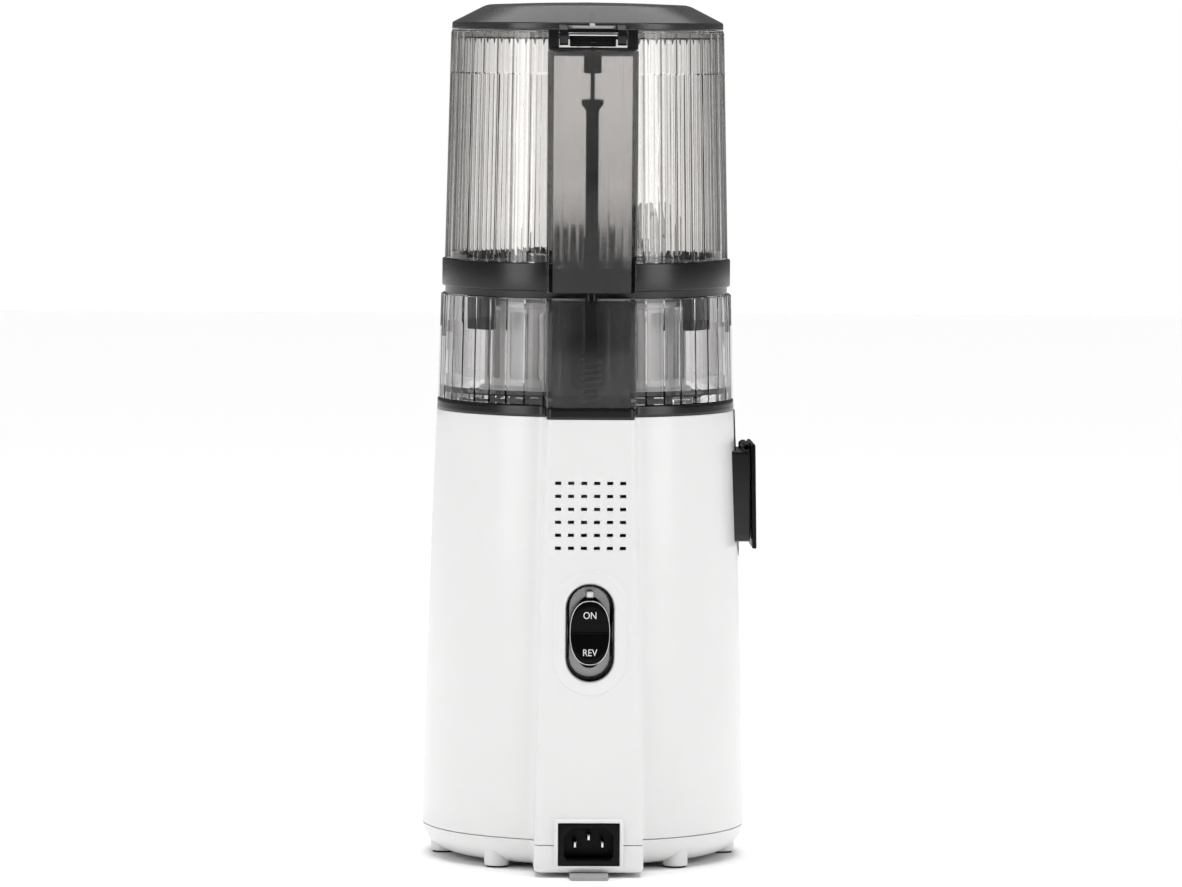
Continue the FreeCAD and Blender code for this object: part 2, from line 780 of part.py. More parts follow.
def rocker_switch():
    half = ROCKER_H / 2 + EXTRA
    side = [vec(0, ROCKER_BACK_Y, -half), vec(0, ROCKER_FACE_Y, -half),
            vec(0, ROCKER_FACE_Y - ROCKER_DIP, 0), vec(0, ROCKER_FACE_Y, half),
            vec(0, ROCKER_BACK_Y, half)]
    profile = closed_face(side).extrude(vec(2 * ROCKER_W, 0, 0))
    profile.translate(vec(-ROCKER_W, 0, 0))
    cap = stadium(ROCKER_W, ROCKER_H, ROCKER_BACK_Y, ROCKER_FACE_Y).common(profile)
    stem = box(-STEM_HALF_W, STEM_HALF_W, STEM_END_Y, ROCKER_BACK_Y, -STEM_HALF_H, STEM_HALF_H)
    ridge_half = ROCKER_W / 2 - BEZEL_WALL
    ridge = rod_x(ROCKER_RIDGE_R, -ridge_half, ridge_half, ROCKER_FACE_Y - ROCKER_DIP, 0)
    pivot = rod_x(PIVOT_R, -PIVOT_HALF, PIVOT_HALF, ROCKER_PIVOT_Y, 0)
    return on_spine(join([cap, stem, ridge, pivot]), SWITCH_Z)


def switch_body():
    block = box(-SWITCH_BODY_HALF_W, SWITCH_BODY_HALF_W, SWITCH_BODY_END_Y, BEZEL_BACK_Y,
                -SWITCH_BODY_HALF_H, SWITCH_BODY_HALF_H)
    slot = box(-STEM_SLOT_HALF_W, STEM_SLOT_HALF_W, STEM_SLOT_END_Y, 0,
               -STEM_SLOT_HALF_H, STEM_SLOT_HALF_H)
    tabs = []
    for x in SWITCH_TAG_XS:
        for z in SWITCH_TAG_ZS:
            tabs.append(box(x - TAG_HALF_T, x + TAG_HALF_T, SWITCH_BODY_END_Y - TAG_LENGTH,
                            SWITCH_BODY_END_Y + EXTRA, z - TAG_HALF_W, z + TAG_HALF_W))
    return on_spine(join([block.cut(slot)] + tabs), SWITCH_Z)


def power_inlet():
    block = inlet_block(0, INLET_END_Y, INLET_FACE_Y)
    low = INLET_Z - RECESS_HALF_H
    high = INLET_Z + RECESS_HALF_H
    floor_y = INLET_FACE_Y - RECESS_DEPTH
    outline = [vec(-RECESS_HALF_W, floor_y, low), vec(RECESS_HALF_W, floor_y, low),
               vec(RECESS_HALF_W, floor_y, high - RECESS_CORNER),
               vec(RECESS_HALF_W - RECESS_CORNER, floor_y, high),
               vec(RECESS_CORNER - RECESS_HALF_W, floor_y, high),
               vec(-RECESS_HALF_W, floor_y, high - RECESS_CORNER)]
    recess = closed_face(outline).extrude(vec(0, RECESS_DEPTH + EXTRA, 0))
    return block.cut([recess] + inlet_pin_list())


def inlet_pin_list():
    spots = [(-PIN_HALF_SPACING, PIN_LOW_Z), (PIN_HALF_SPACING, PIN_LOW_Z), (0, PIN_EARTH_Z)]
    pins = []
    for x, z in spots:
        pins.append(box(x - PIN_HALF_THICK, x + PIN_HALF_THICK, PIN_TAIL_Y, PIN_TIP_Y,
                        z - PIN_HALF_HIGH, z + PIN_HALF_HIGH))
    return pins


def inlet_pins():
    return Part.makeCompound(inlet_pin_list())


def ring_of(count, radius, make):
    shapes = []
    for index in range(count):
        angle = 2 * math.pi * (index + 0.5) / count
        shapes.append(make(radius * math.cos(angle), radius * math.sin(angle)))
    return shapes


def motor_stator():
    core = ring(MOTOR_R, STATOR_BORE_R, STATOR_LOW_Z, STATOR_TOP_Z)
    top_z = STATOR_TOP_Z + EXTRA
    return core.cut(ring_of(STATOR_SLOTS, SLOT_RADIUS, lambda x, y: disc(SLOT_R, 0, top_z, x, y)))


def stator_windings():
    coils = [ring(WINDING_OUT_R, WINDING_IN_R, STATOR_TOP_Z, STATOR_TOP_Z + WINDING_LENGTH),
             ring(WINDING_OUT_R, WINDING_IN_R, STATOR_LOW_Z - WINDING_LENGTH / 2, STATOR_LOW_Z)]
    coils += ring_of(STATOR_SLOTS, SLOT_RADIUS, lambda x, y: disc(SLOT_R, STATOR_LOW_Z, STATOR_TOP_Z, x, y))
    return join(coils)


def motor_rotor():
    core = disc(ROTOR_R, ROTOR_LOW_Z, ROTOR_TOP_Z)
    shaft = disc(SHAFT_R, SHAFT_LOW_Z, SHAFT_STEP_Z)
    end = hex_bar(SMALL_HEX, SHAFT_STEP_Z - EXTRA, SHAFT_TOP_Z)
    return join([core, shaft, end])


def cooling_fan():
    plate_top = FAN_LOW_Z + FAN_PLATE
    blades = []
    for index in range(FAN_BLADES):
        blade = box(FAN_HUB_R - EXTRA, FAN_R, -FAN_BLADE_T / 2, FAN_BLADE_T / 2,
                    FAN_LOW_Z, plate_top + FAN_BLADE_H)
        blades.append(turned(blade, 360.0 * index / FAN_BLADES))
    hub = disc(FAN_HUB_R, FAN_LOW_Z, plate_top + FAN_BLADE_H)
    fan = join([disc(FAN_R, FAN_LOW_Z, plate_top), hub] + blades)
    return fan.cut(disc(SHAFT_R, 0, STATOR_TOP_Z))


def lower_motor_frame():
    plate = disc(MOTOR_R, LOW_FRAME_Z, LOW_FRAME_Z + LOW_FRAME_PLATE)
    boss = disc(FRAME_BOSS_R, LOW_FRAME_Z, LOW_BEARING_Z + BEARING_LENGTH)
    side = ring(MOTOR_R, MOTOR_R - FRAME_WALL, LOW_FRAME_Z, STATOR_LOW_Z)
    frame = join([plate, boss, side])
    cuts = [disc(BEARING_OUT_R, LOW_BEARING_Z, STATOR_LOW_Z), disc(SHAFT_R + EXTRA, 0, STATOR_LOW_Z)]
    window = box(0, 2 * MOTOR_R, -FRAME_WINDOW_HALF, FRAME_WINDOW_HALF,
                 LOW_BEARING_Z + FRAME_WINDOW_EDGE, STATOR_LOW_Z - FRAME_WINDOW_EDGE)
    window = window.cut(disc(MOTOR_R - FRAME_WALL - EXTRA, 0, STATOR_LOW_Z))
    cuts += [turned(window, 360.0 * (index + 0.5) / FRAME_WINDOWS) for index in range(FRAME_WINDOWS)]
    return frame.cut(cuts)


def upper_motor_frame():
    plate_low = UP_FRAME_TOP_Z - UP_FRAME_PLATE
    plate = disc(MOTOR_R, plate_low, UP_FRAME_TOP_Z)
    side = ring(MOTOR_R, MOTOR_R - FRAME_WALL, STATOR_TOP_Z, plate_low)
    boss = disc(FRAME_BOSS_R, plate_low, UP_BEARING_Z + BEARING_LENGTH)
    posts = ring_of(POST_COUNT, POST_RADIUS, lambda x, y: disc(POST_R, plate_low, GEARBOX_COVER_Z, x, y))
    frame = join([plate, side, boss] + posts)
    cuts = [disc(BEARING_OUT_R, UP_BEARING_Z, GEARBOX_COVER_Z), disc(SHAFT_R + EXTRA, 0, GEARBOX_COVER_Z)]
    window = box(PLATE_WINDOW_NEAR, PLATE_WINDOW_FAR, -PLATE_WINDOW_HALF, PLATE_WINDOW_HALF,
                 plate_low - EXTRA, GEARBOX_COVER_Z)
    cuts += [turned(window, 360.0 * index / PLATE_WINDOWS) for index in range(PLATE_WINDOWS)]
    return frame.cut(cuts)


def motor_bearings():
    low = ring(BEARING_OUT_R, SHAFT_R + RUN, LOW_BEARING_Z, LOW_BEARING_Z + BEARING_LENGTH)
    high = ring(BEARING_OUT_R, SHAFT_R + RUN, UP_BEARING_Z, UP_BEARING_Z + BEARING_LENGTH)
    return Part.makeCompound([low, high])


def flank_angle(radius, pitch_radius, half_pitch_angle):
    base = pitch_radius * math.cos(PRESSURE)
    local = math.acos(min(1.0, base / radius))
    return half_pitch_angle + (math.tan(PRESSURE) - PRESSURE) - (math.tan(local) - local)


def gear(module, teeth, z0, z1, x=0.0, phase=0.0):
    """A spur gear whose tooth flanks follow an involute in short flat steps."""
    pitch = module * teeth / 2
    base = pitch * math.cos(PRESSURE)
    tip = pitch + ADDENDUM * module
    root = pitch - DEDENDUM * module
    half = (math.pi / 2 - BACKLASH) * module / (2 * pitch)
    start = max(base, root)
    flank = []
    if root < base:
        flank.append((root, flank_angle(base, pitch, half) * UNDERCUT))
    for step in range(FLANK_STEPS + 1):
        radius = start + (tip - start) * step / FLANK_STEPS
        flank.append((radius, flank_angle(radius, pitch, half)))
    outline = []
    for tooth in range(teeth):
        centre = phase + 2 * math.pi * tooth / teeth
        rising = [(r, centre - a) for r, a in flank]
        falling = [(r, centre + a) for r, a in reversed(flank)]
        for radius, angle in rising + falling:
            outline.append(vec(x + radius * math.cos(angle), radius * math.sin(angle), z0))
    return closed_face(outline).extrude(vec(0, 0, z1 - z0))


def motor_pinion():
    wheel = gear(STAGE1_MODULE, STAGE1_PINION, STAGE1_LOW_Z, STAGE1_TOP_Z)
    return wheel.cut(hex_bar(SMALL_HEX, STAGE1_LOW_Z - EXTRA, STAGE1_TOP_Z + EXTRA))


def lightened(wheel, x, z0, z1, web):
    """Flat-sided windows in the web of a large gear."""
    hub_r, rim_r = web
    half_width = (rim_r - hub_r) / 4
    cuts = []
    for index in range(WEB_WINDOWS):
        window = box(hub_r, rim_r, -half_width, half_width, z0 - EXTRA, z1 + EXTRA)
        window = turned(window, 360.0 * (index + 0.5) / WEB_WINDOWS)
        window.translate(vec(x, 0, 0))
        cuts.append(window)
    return wheel.cut(cuts)


def lay_gear():
    wheel = gear(STAGE1_MODULE, STAGE1_GEAR, STAGE1_LOW_Z, STAGE1_TOP_Z, CENTRE_DISTANCE)
    wheel = lightened(wheel, CENTRE_DISTANCE, STAGE1_LOW_Z, STAGE1_TOP_Z, LAY_WEB)
    return wheel.cut(hex_bar(SMALL_HEX, STAGE1_LOW_Z - EXTRA, STAGE1_TOP_Z + EXTRA, CENTRE_DISTANCE))


def lay_pinion():
    wheel = gear(STAGE2_MODULE, STAGE2_PINION, STAGE2_LOW_Z, STAGE2_TOP_Z, CENTRE_DISTANCE)
    return wheel.cut(hex_bar(SMALL_HEX, STAGE2_LOW_Z - EXTRA, STAGE2_TOP_Z + EXTRA, CENTRE_DISTANCE))


def lay_shaft():
    middle = hex_bar(SMALL_HEX, LAY_HEX_LOW_Z, LAY_HEX_TOP_Z, CENTRE_DISTANCE)
    journal = disc(SMALL_HEX / 2, LAY_LOW_Z, LAY_TOP_Z, CENTRE_DISTANCE)
    return join([middle, journal])


def output_gear():
    wheel = gear(STAGE2_MODULE, STAGE2_GEAR, STAGE2_LOW_Z, STAGE2_TOP_Z, 0.0, math.pi / STAGE2_GEAR)
    wheel = lightened(wheel, 0.0, STAGE2_LOW_Z, STAGE2_TOP_Z, OUTPUT_WEB)
    return wheel.cut(hex_bar(OUTPUT_HEX, STAGE2_LOW_Z - EXTRA, STAGE2_TOP_Z + EXTRA))


def output_shaft():
    low = hex_bar(OUTPUT_HEX, OUTPUT_LOW_Z, OUTPUT_HEX_TOP_Z)
    middle = disc(OUTPUT_R, OUTPUT_HEX_TOP_Z, OUTPUT_STEP_Z)
    high = hex_bar(OUTPUT_HEX, OUTPUT_STEP_Z, OUTPUT_TOP_Z)
    return join([low, middle, high])


def output_bearings():
    rings = [ring(OUTPUT_BEARING_R, OUTPUT_R + RUN, z, z + BEARING_LENGTH) for z in OUTPUT_BEARING_SPOTS]
    return Part.makeCompound(rings)


def shaft_seal():
    return ring(SEAL_R, OUTPUT_R + RUN, SEAL_LOW_Z, SEAL_TOP_Z)


def racetrack(radius, z0, z1):
    ends = [disc(radius, z0, z1), disc(radius, z0, z1, CENTRE_DISTANCE)]
    return join(ends + [box(0, CENTRE_DISTANCE, -radius, radius, z0, z1)])


def gearbox_cover():
    plate = racetrack(GEARBOX_R, GEARBOX_COVER_Z, GEARBOX_LOW_Z)
    cuts = [disc(SHAFT_R + EXTRA, 0, GEARBOX_LOW_Z + EXTRA),
            disc(SMALL_HEX / 2 + RUN, LAY_LOW_Z - GAP, GEARBOX_LOW_Z + EXTRA, CENTRE_DISTANCE)]
    return plate.cut(cuts)


def gearbox_housing():
    roof_low = GEARBOX_TOP_Z - GEARBOX_ROOF
    outside = racetrack(GEARBOX_R, GEARBOX_LOW_Z, GEARBOX_TOP_Z)
    inside = racetrack(GEARBOX_INNER_R, GEARBOX_LOW_Z - EXTRA, roof_low)
    lay_boss = disc(LAY_BOSS_R, LAY_HEX_TOP_Z + EXTRA, roof_low + EXTRA, CENTRE_DISTANCE)
    bearing_low = OUTPUT_BEARING_SPOTS[0]
    main_boss = disc(DECK_BOSS_R, bearing_low - 2 * EXTRA, roof_low + EXTRA)
    housing = join([outside.cut(inside), lay_boss, main_boss])
    cuts = [disc(OUTPUT_BEARING_R, bearing_low, GEARBOX_TOP_Z + EXTRA),
            disc(OUTPUT_R + EXTRA, 0, GEARBOX_TOP_Z + EXTRA),
            disc(SMALL_HEX / 2 + RUN, 0, LAY_TOP_Z + GAP, CENTRE_DISTANCE)]
    return housing.cut(cuts)


def motor_mounts():
    return Part.makeCompound(at_each(
        HANGER_SPOTS, lambda x, y: disc(HANGER_R, GEARBOX_TOP_Z, HANGER_RUBBER_TOP_Z, x, y)))


def control_board():
    return box(-BOARD_HALF_W, BOARD_HALF_W, BOARD_Y, BOARD_Y + BOARD_T, BOARD_LOW_Z, BOARD_TOP_Z)


def board_components():
    parts = []
    for radius, length, x, z in (CAPACITOR, CHOKE):
        parts.append(rod_y(radius, BOARD_Y - length, BOARD_Y, x, z))
    for x0, x1, deep, z0, z1 in (RELAY, CHIP):
        parts.append(box(x0, x1, BOARD_Y - deep, BOARD_Y, z0, z1))
    return Part.makeCompound(parts)


def board_posts():
    posts = []
    reach = BOARD_HALF_W - BOARD_MARGIN
    for x in (-reach, reach):
        for z in (BOARD_LOW_Z + BOARD_MARGIN, BOARD_TOP_Z - BOARD_MARGIN):
            post = rod_y(BOARD_POST_R, BOARD_Y + BOARD_T, SPINE_LOW_Y, x, z)
            posts.append(post.common(housing_form(WALL)))
    return Part.makeCompound(posts)


def lid_microswitch():
    front = ROD_Y - MICRO_HALF_Y
    back = ROD_Y + MICRO_HALF_Y
    block = box(-MICRO_HALF_W, MICRO_HALF_W, front, back, MICRO_LOW_Z, MICRO_TOP_Z)
    hanger = box(MICRO_HALF_W - MICRO_HANGER_HALF, MICRO_HALF_W + MICRO_HANGER_HALF, front, back,
                 MICRO_LOW_Z, SHELL_TOP_Z)
    tabs = [box(x - TAG_HALF_T, x + TAG_HALF_T, ROD_Y - MICRO_TAG_HALF_W, ROD_Y + MICRO_TAG_HALF_W,
                MICRO_LOW_Z - MICRO_TAG_LENGTH, MICRO_LOW_Z + EXTRA) for x in MICRO_TAG_XS]
    return join([block, hanger] + tabs)


def switch_plunger():
    stem = disc(PLUNGER_R, MICRO_TOP_Z + GAP, PLUNGER_TOP_Z, 0, ROD_Y)
    collar = disc(PLUNGER_R + EXTRA, MICRO_TOP_Z + GAP, MICRO_TOP_Z + PLUNGER_COLLAR_T, 0, ROD_Y)
    return join([stem, collar])


def pulp_spout():
    """A bent duct from the deck to the side, with the short nozzle outside."""
    upper = box(CHUTE_FAR_X, CHUTE_NEAR_X, -CHUTE_HALF_Y, CHUTE_HALF_Y,
                CHUTE_BEND_Z - CHUTE_WALL, SPIGOT_LOW_Z)
    lower = box(SPOUT_END_X, CHUTE_BEND_X, -CHUTE_HALF_Y, CHUTE_HALF_Y, CHUTE_LOW_Z, CHUTE_TOP_Z)
    outside = upper.fuse(lower)
    inner_y = CHUTE_HALF_Y - CHUTE_WALL
    far_x = CHUTE_FAR_X + CHUTE_WALL
    room_up = box(far_x, CHUTE_NEAR_X - CHUTE_WALL, -inner_y, inner_y,
                  CHUTE_BEND_Z, SPIGOT_LOW_Z - CHUTE_WALL)
    room_low = box(SPOUT_END_X - EXTRA, CHUTE_BEND_X - CHUTE_WALL, -inner_y, inner_y,
                   CHUTE_LOW_Z + CHUTE_WALL, CHUTE_TOP_Z - CHUTE_WALL)
    link = box(far_x, CHUTE_BEND_X - CHUTE_WALL, -inner_y, inner_y,
               CHUTE_TOP_Z - 2 * CHUTE_WALL, CHUTE_BEND_Z + CHUTE_WALL)
    mouth = box(PULP_HOLE_FAR_X, PULP_HOLE_NEAR_X, -PULP_HOLE_HALF_Y, PULP_HOLE_HALF_Y,
                CHUTE_BEND_Z, SPIGOT_LOW_Z + EXTRA)
    ears = []
    for side in (-1, 1):
        y = side * FLAP_EAR_Y
        ear = rod_y(FLAP_EAR_R, y - FLAP_EAR_W / 2, y + FLAP_EAR_W / 2, FLAP_PIN_X, FLAP_PIN_Z)
        root = box(FLAP_PIN_X, FLAP_PIN_X + FLAP_EAR_W, y - FLAP_EAR_W / 2, y + FLAP_EAR_W / 2,
                   CHUTE_TOP_Z - EXTRA, FLAP_PIN_Z + EXTRA)
        ears += [ear, root]
    body = join([outside] + ears).cut([room_up, room_low, link, mouth])
    shell_zone = housing_form(0).cut(housing_form(APRON_DEEP + WALL))
    body = body.cut(shell_zone.common(slab(CHUTE_TOP_Z, DECK_TOP_Z)))
    return body.cut(rod_y(FLAP_PIN_R, -2 * CHUTE_HALF_Y, 2 * CHUTE_HALF_Y, FLAP_PIN_X, FLAP_PIN_Z))


def pulp_flap():
    """A flat plate over the nozzle with two tabs on the hinge pin."""
    outer_top = SPOUT_END_X - GAP
    outline = [vec(outer_top, -FLAP_HALF_Y, FLAP_TOP_Z),
               vec(outer_top - FLAP_T, -FLAP_HALF_Y, FLAP_TOP_Z),
               vec(outer_top - FLAP_T - FLAP_LEAN, -FLAP_HALF_Y, FLAP_LOW_Z),
               vec(outer_top - FLAP_LEAN, -FLAP_HALF_Y, FLAP_LOW_Z)]
    plate = closed_face(outline).extrude(vec(0, 2 * FLAP_HALF_Y, 0))
    eye = rod_y(FLAP_EAR_R, -FLAP_EYE_HALF, FLAP_EYE_HALF, FLAP_PIN_X, FLAP_PIN_Z)
    bar = box(outer_top - EXTRA, FLAP_PIN_X, -FLAP_EYE_HALF, FLAP_EYE_HALF,
              FLAP_PIN_Z - EXTRA, FLAP_PIN_Z + FLAP_EAR_R)
    clear = box(SPOUT_END_X, 0, -2 * FLAP_HALF_Y, 2 * FLAP_HALF_Y, 0, CHUTE_TOP_Z + GAP)
    flap = join([plate, eye, bar]).cut(clear)
    return flap.cut(rod_y(FLAP_PIN_R + RUN, -2 * FLAP_HALF_Y, 2 * FLAP_HALF_Y, FLAP_PIN_X, FLAP_PIN_Z))


def pulp_flap_pin():
    end = FLAP_EAR_Y + FLAP_EAR_W / 2
    return rod_y(FLAP_PIN_R, -end, end, FLAP_PIN_X, FLAP_PIN_Z)


def drum_outside():
    return faceted(FACETS, [(DRUM_LOW_R, DECK_TOP_Z), (DRUM_TOP_R, DRUM_TOP_Z)])


def drum():
    inside = faceted(FACETS, [(DRUM_LOW_R - DRUM_WALL, DECK_TOP_Z + DRUM_FLOOR),
                              (DRUM_TOP_R - DRUM_WALL, DRUM_TOP_Z + EXTRA)])
    tube = disc(DRUM_TUBE_OUT_R, DECK_TOP_Z, DRUM_TUBE_TOP_Z)
    body = join([drum_outside().cut(inside), tube])
    cuts = [disc(DRUM_TUBE_IN_R, 0, DRUM_TUBE_TOP_Z + EXTRA),
            box(PULP_HOLE_FAR_X, PULP_HOLE_NEAR_X, -PULP_HOLE_HALF_Y, PULP_HOLE_HALF_Y,
                0, DECK_TOP_Z + DRUM_FLOOR),
            rod_y(JUICE_IN_R, -2 * DRUM_LOW_R, JUICE_ROOT_Y + JUICE_IN_R, 0, JUICE_Z)]
    return body.cut(cuts)


def channel_tube(low_z, high_z, against):
    outside = box(-CHANNEL_HALF, CHANNEL_HALF, CHANNEL_ROOT_Y, CHANNEL_BACK_Y, low_z, high_z)
    edges = upright_edges_at(outside, CHANNEL_BACK_Y)
    outside = outside.makeChamfer(EXTRA, edges)
    half = CHANNEL_HALF - CHANNEL_WALL
    inside = box(-half, half, 0, CHANNEL_BACK_Y - CHANNEL_WALL, low_z - EXTRA, high_z + EXTRA)
    return outside.cut([inside, against])


def drum_channel():
    walls = channel_tube(DECK_TOP_Z, DRUM_TOP_Z, drum_outside())
    floor = box(-CHANNEL_HALF + EXTRA, CHANNEL_HALF - EXTRA, CHANNEL_ROOT_Y, CHANNEL_BACK_Y - EXTRA,
                DECK_TOP_Z, DECK_TOP_Z + DRUM_CHANNEL_FLOOR).cut(drum_outside())
    return join([walls, floor]).cut(disc(PLUNGER_HOLE_R, 0, DRUM_TOP_Z, 0, ROD_Y))


def drum_seal():
    return ring(DRUM_SEAL_R, DRUM_TUBE_OUT_R, DRUM_SEAL_LOW_Z, DRUM_SEAL_TOP_Z)


def lower_interlock_rod():
    stem = disc(LOW_ROD_R, LOW_ROD_LOW_Z, LOW_ROD_TOP_Z, 0, ROD_Y)
    flange = disc(LOW_ROD_FLANGE_R, LOW_ROD_FLANGE_Z, LOW_ROD_FLANGE_Z + LOW_ROD_FLANGE_T, 0, ROD_Y)
    return join([stem, flange])


def rod_spring():
    low = DECK_TOP_Z + DRUM_CHANNEL_FLOOR + SPRING_WIRE_R + RUN
    height = LOW_ROD_FLANGE_Z - low - SPRING_WIRE_R - RUN
    helix = Part.makeHelix(height / SPRING_TURNS, height, SPRING_R)
    start = vec(SPRING_R, 0, 0)
    circle = Part.Circle(start, vec(0, 1, 0), SPRING_WIRE_R).toShape()
    coil = Part.Wire(helix.Edges).makePipeShell([Part.Wire([circle])], True, True)
    coil.translate(vec(0, ROD_Y, low))
    return coil


def filter_windows():
    """The blocks that cut, or fill, the openings round the filter wall."""
    windows = []
    for index in range(FILTER_WINDOWS):
        window = box(FILTER_IN_R - WINDOW_REACH, FILTER_IN_R + WINDOW_REACH, -WINDOW_W / 2, WINDOW_W / 2,
                     WINDOW_LOW_Z, WINDOW_TOP_Z)
        windows.append(turned(window, 360.0 * index / FILTER_WINDOWS))
    return windows


def filter_basket():
    low = DECK_TOP_Z + DRUM_FLOOR
    foot = ring(FILTER_FOOT_R, FILTER_FOOT_IN_R, low, low + FILTER_FOOT_H)
    wall = ring(FILTER_IN_R + FILTER_T, FILTER_IN_R, low + FILTER_FOOT_H, FILTER_TOP_Z)
    rim = ring(FILTER_RIM_R, FILTER_IN_R, FILTER_TOP_Z - FILTER_RIM_H, FILTER_TOP_Z)
    return join([foot, wall, rim]).cut(filter_windows())


def filter_mesh():
    """Thin perforated sheets that close the windows of the filter frame."""
    outer = FILTER_IN_R + FILTER_T - MESH_INSET
    sheets = ring(outer, FILTER_IN_R + MESH_INSET, WINDOW_LOW_Z, WINDOW_TOP_Z)
    return sheets.common(Part.makeCompound(filter_windows()))


def core_radius(z):
    share = (z - AUGER_LOW_Z) / (AUGER_TOP_Z - AUGER_LOW_Z)
    return AUGER_LOW_R + share * (AUGER_TOP_R - AUGER_LOW_R)


def auger_flight(phase):
    """One screw thread of the auger, made of flat triangles."""
    sections = []
    for step in range(FLIGHT_STEPS + 1):
        share = step / FLIGHT_STEPS
        angle = phase + 2 * math.pi * FLIGHT_TURNS * share
        low = FLIGHT_LOW_Z + share * (FLIGHT_TOP_Z - FLIGHT_LOW_Z - FLIGHT_T)
        inner = core_radius(low + FLIGHT_T) - FLIGHT_ROOT
        corners = []
        tip = [(FLIGHT_R, low), (FLIGHT_R, low + FLIGHT_T / 2)]
        for radius, z in [(inner, low)] + tip + [(inner, low + FLIGHT_T)]:
            corners.append(vec(radius * math.cos(angle), radius * math.sin(angle), z))
        sections.append(corners)
    faces = [closed_face(sections[0]), closed_face(sections[-1])]
    for here, there in zip(sections, sections[1:]):
        for index in range(4):
            after = (index + 1) % 4
            faces.append(closed_face([here[index], here[after], there[after]]))
            faces.append(closed_face([here[index], there[after], there[index]]))
    return Part.makeSolid(Part.makeShell(faces))


def auger():
    core = faceted(AUGER_SIDES, [(AUGER_LOW_R, AUGER_LOW_Z), (AUGER_TOP_R, AUGER_TOP_Z),
                                 (AUGER_NECK_R, AUGER_NECK_LOW_Z), (AUGER_NECK_R, AUGER_NECK_TOP_Z)])
    flights = [auger_flight(2 * math.pi * index / FLIGHT_STARTS) for index in range(FLIGHT_STARTS)]
    body = core.fuse(flights)
    recess = faceted(AUGER_SIDES, [(AUGER_RECESS_R, AUGER_LOW_Z - EXTRA),
                                   (AUGER_RECESS_R, AUGER_RECESS_TOP_Z)])
    pocket = faceted(AUGER_SIDES, [(SOCKET_R, AUGER_LOW_Z - EXTRA), (SOCKET_R, SOCKET_TOP_Z)])
    return body.cut([recess, pocket])


def auger_socket():
    insert = faceted(AUGER_SIDES, [(SOCKET_R, AUGER_RECESS_TOP_Z), (SOCKET_R, SOCKET_TOP_Z)])
    return insert.cut(hex_bar(SOCKET_HEX, AUGER_LOW_Z, SOCKET_HOLE_TOP_Z))


def wing_blade(reach, tip_h, shoulder, top_z, sense):
    """A flat blade that stands on the hub and slopes down to its tip."""
    corners = [(0, WING_LOW_Z), (reach, WING_LOW_Z), (reach - EXTRA, WING_LOW_Z + tip_h),
               (shoulder, top_z), (shoulder - WING_CREST, top_z - WING_CREST / 2),
               (WING_HUB_R / 2, WING_LOW_Z + WING_ROOT_H)]
    outline = [vec(sense * x, -WING_T / 2, z) for x, z in corners]
    return closed_face(outline).extrude(vec(0, WING_T, 0))


def cutting_wing():
    hub = faceted(AUGER_SIDES, [(WING_HUB_R, AUGER_NECK_TOP_Z), (WING_HUB_R, WING_LOW_Z),
                                (WING_TIP_R, WING_HUB_TOP_Z)])
    blades = [wing_blade(WING_REACH, WING_TIP_H, WING_SHOULDER, WING_TOP_Z, -1),
              wing_blade(WING_SHORT_REACH, WING_SHORT_TIP_H, WING_SHORT_SHOULDER, WING_SHORT_TOP_Z, 1)]
    return join([hub] + blades)


def juice_spout():
    tube = rod_y(JUICE_OUT_R, JUICE_END_Y, JUICE_ROOT_Y, 0, JUICE_Z)
    flange_y = -DRUM_LOW_R
    flange = rod_y(JUICE_FLANGE_R, flange_y - JUICE_FLANGE_T, JUICE_ROOT_Y, 0, JUICE_Z)
    ears = []
    for side in (-1, 1):
        low_x = CAP_EAR_IN_X if side > 0 else -CAP_PIN_HALF
        high_x = CAP_PIN_HALF if side > 0 else -CAP_EAR_IN_X
        ears.append(rod_x(CAP_EAR_R, low_x, high_x, CAP_PIN_Y + EXTRA, CAP_PIN_Z))
        ears.append(box(low_x, high_x, CAP_PIN_Y - CAP_EAR_R / 2, CAP_PIN_Y + CAP_EAR_R + EXTRA,
                        JUICE_Z + CAP_EAR_ROOT, CAP_PIN_Z))
    body = join([tube, flange] + ears)
    cuts = [drum_outside(), rod_y(JUICE_IN_R, JUICE_END_Y - EXTRA, 0, 0, JUICE_Z),
            rod_x(CAP_PIN_R, -2 * CAP_PIN_HALF, 2 * CAP_PIN_HALF, CAP_PIN_Y, CAP_PIN_Z)]
    return body.cut(cuts)


def juice_cap():
    back_y = JUICE_END_Y - GAP
    plate = rod_y(CAP_R, back_y - CAP_T, back_y, 0, JUICE_Z)
    plug = rod_y(CAP_PLUG_R, back_y - EXTRA, back_y + CAP_PLUG_L, 0, JUICE_Z)
    half = CAP_EAR_IN_X - GAP
    top = CAP_PIN_Z + CAP_EYE_R
    arm = box(-half, half, back_y - CAP_T, back_y, JUICE_Z, top)
    eye = rod_x(CAP_EYE_R, -half, half, CAP_PIN_Y, CAP_PIN_Z)
    neck = box(-half, half, back_y - CAP_T, CAP_PIN_Y, CAP_PIN_Z - EXTRA, top)
    lever = box(-CAP_LEVER_HALF, CAP_LEVER_HALF, back_y - CAP_T, back_y, CAP_LEVER_LOW_Z, JUICE_Z)
    body = join([plate, plug, arm, eye, neck, lever])
    return body.cut(rod_x(CAP_PIN_R + RUN, -CAP_PIN_HALF, CAP_PIN_HALF, CAP_PIN_Y, CAP_PIN_Z))


def juice_cap_pin():
    return rod_x(CAP_PIN_R, -CAP_PIN_HALF, CAP_PIN_HALF, CAP_PIN_Y, CAP_PIN_Z)


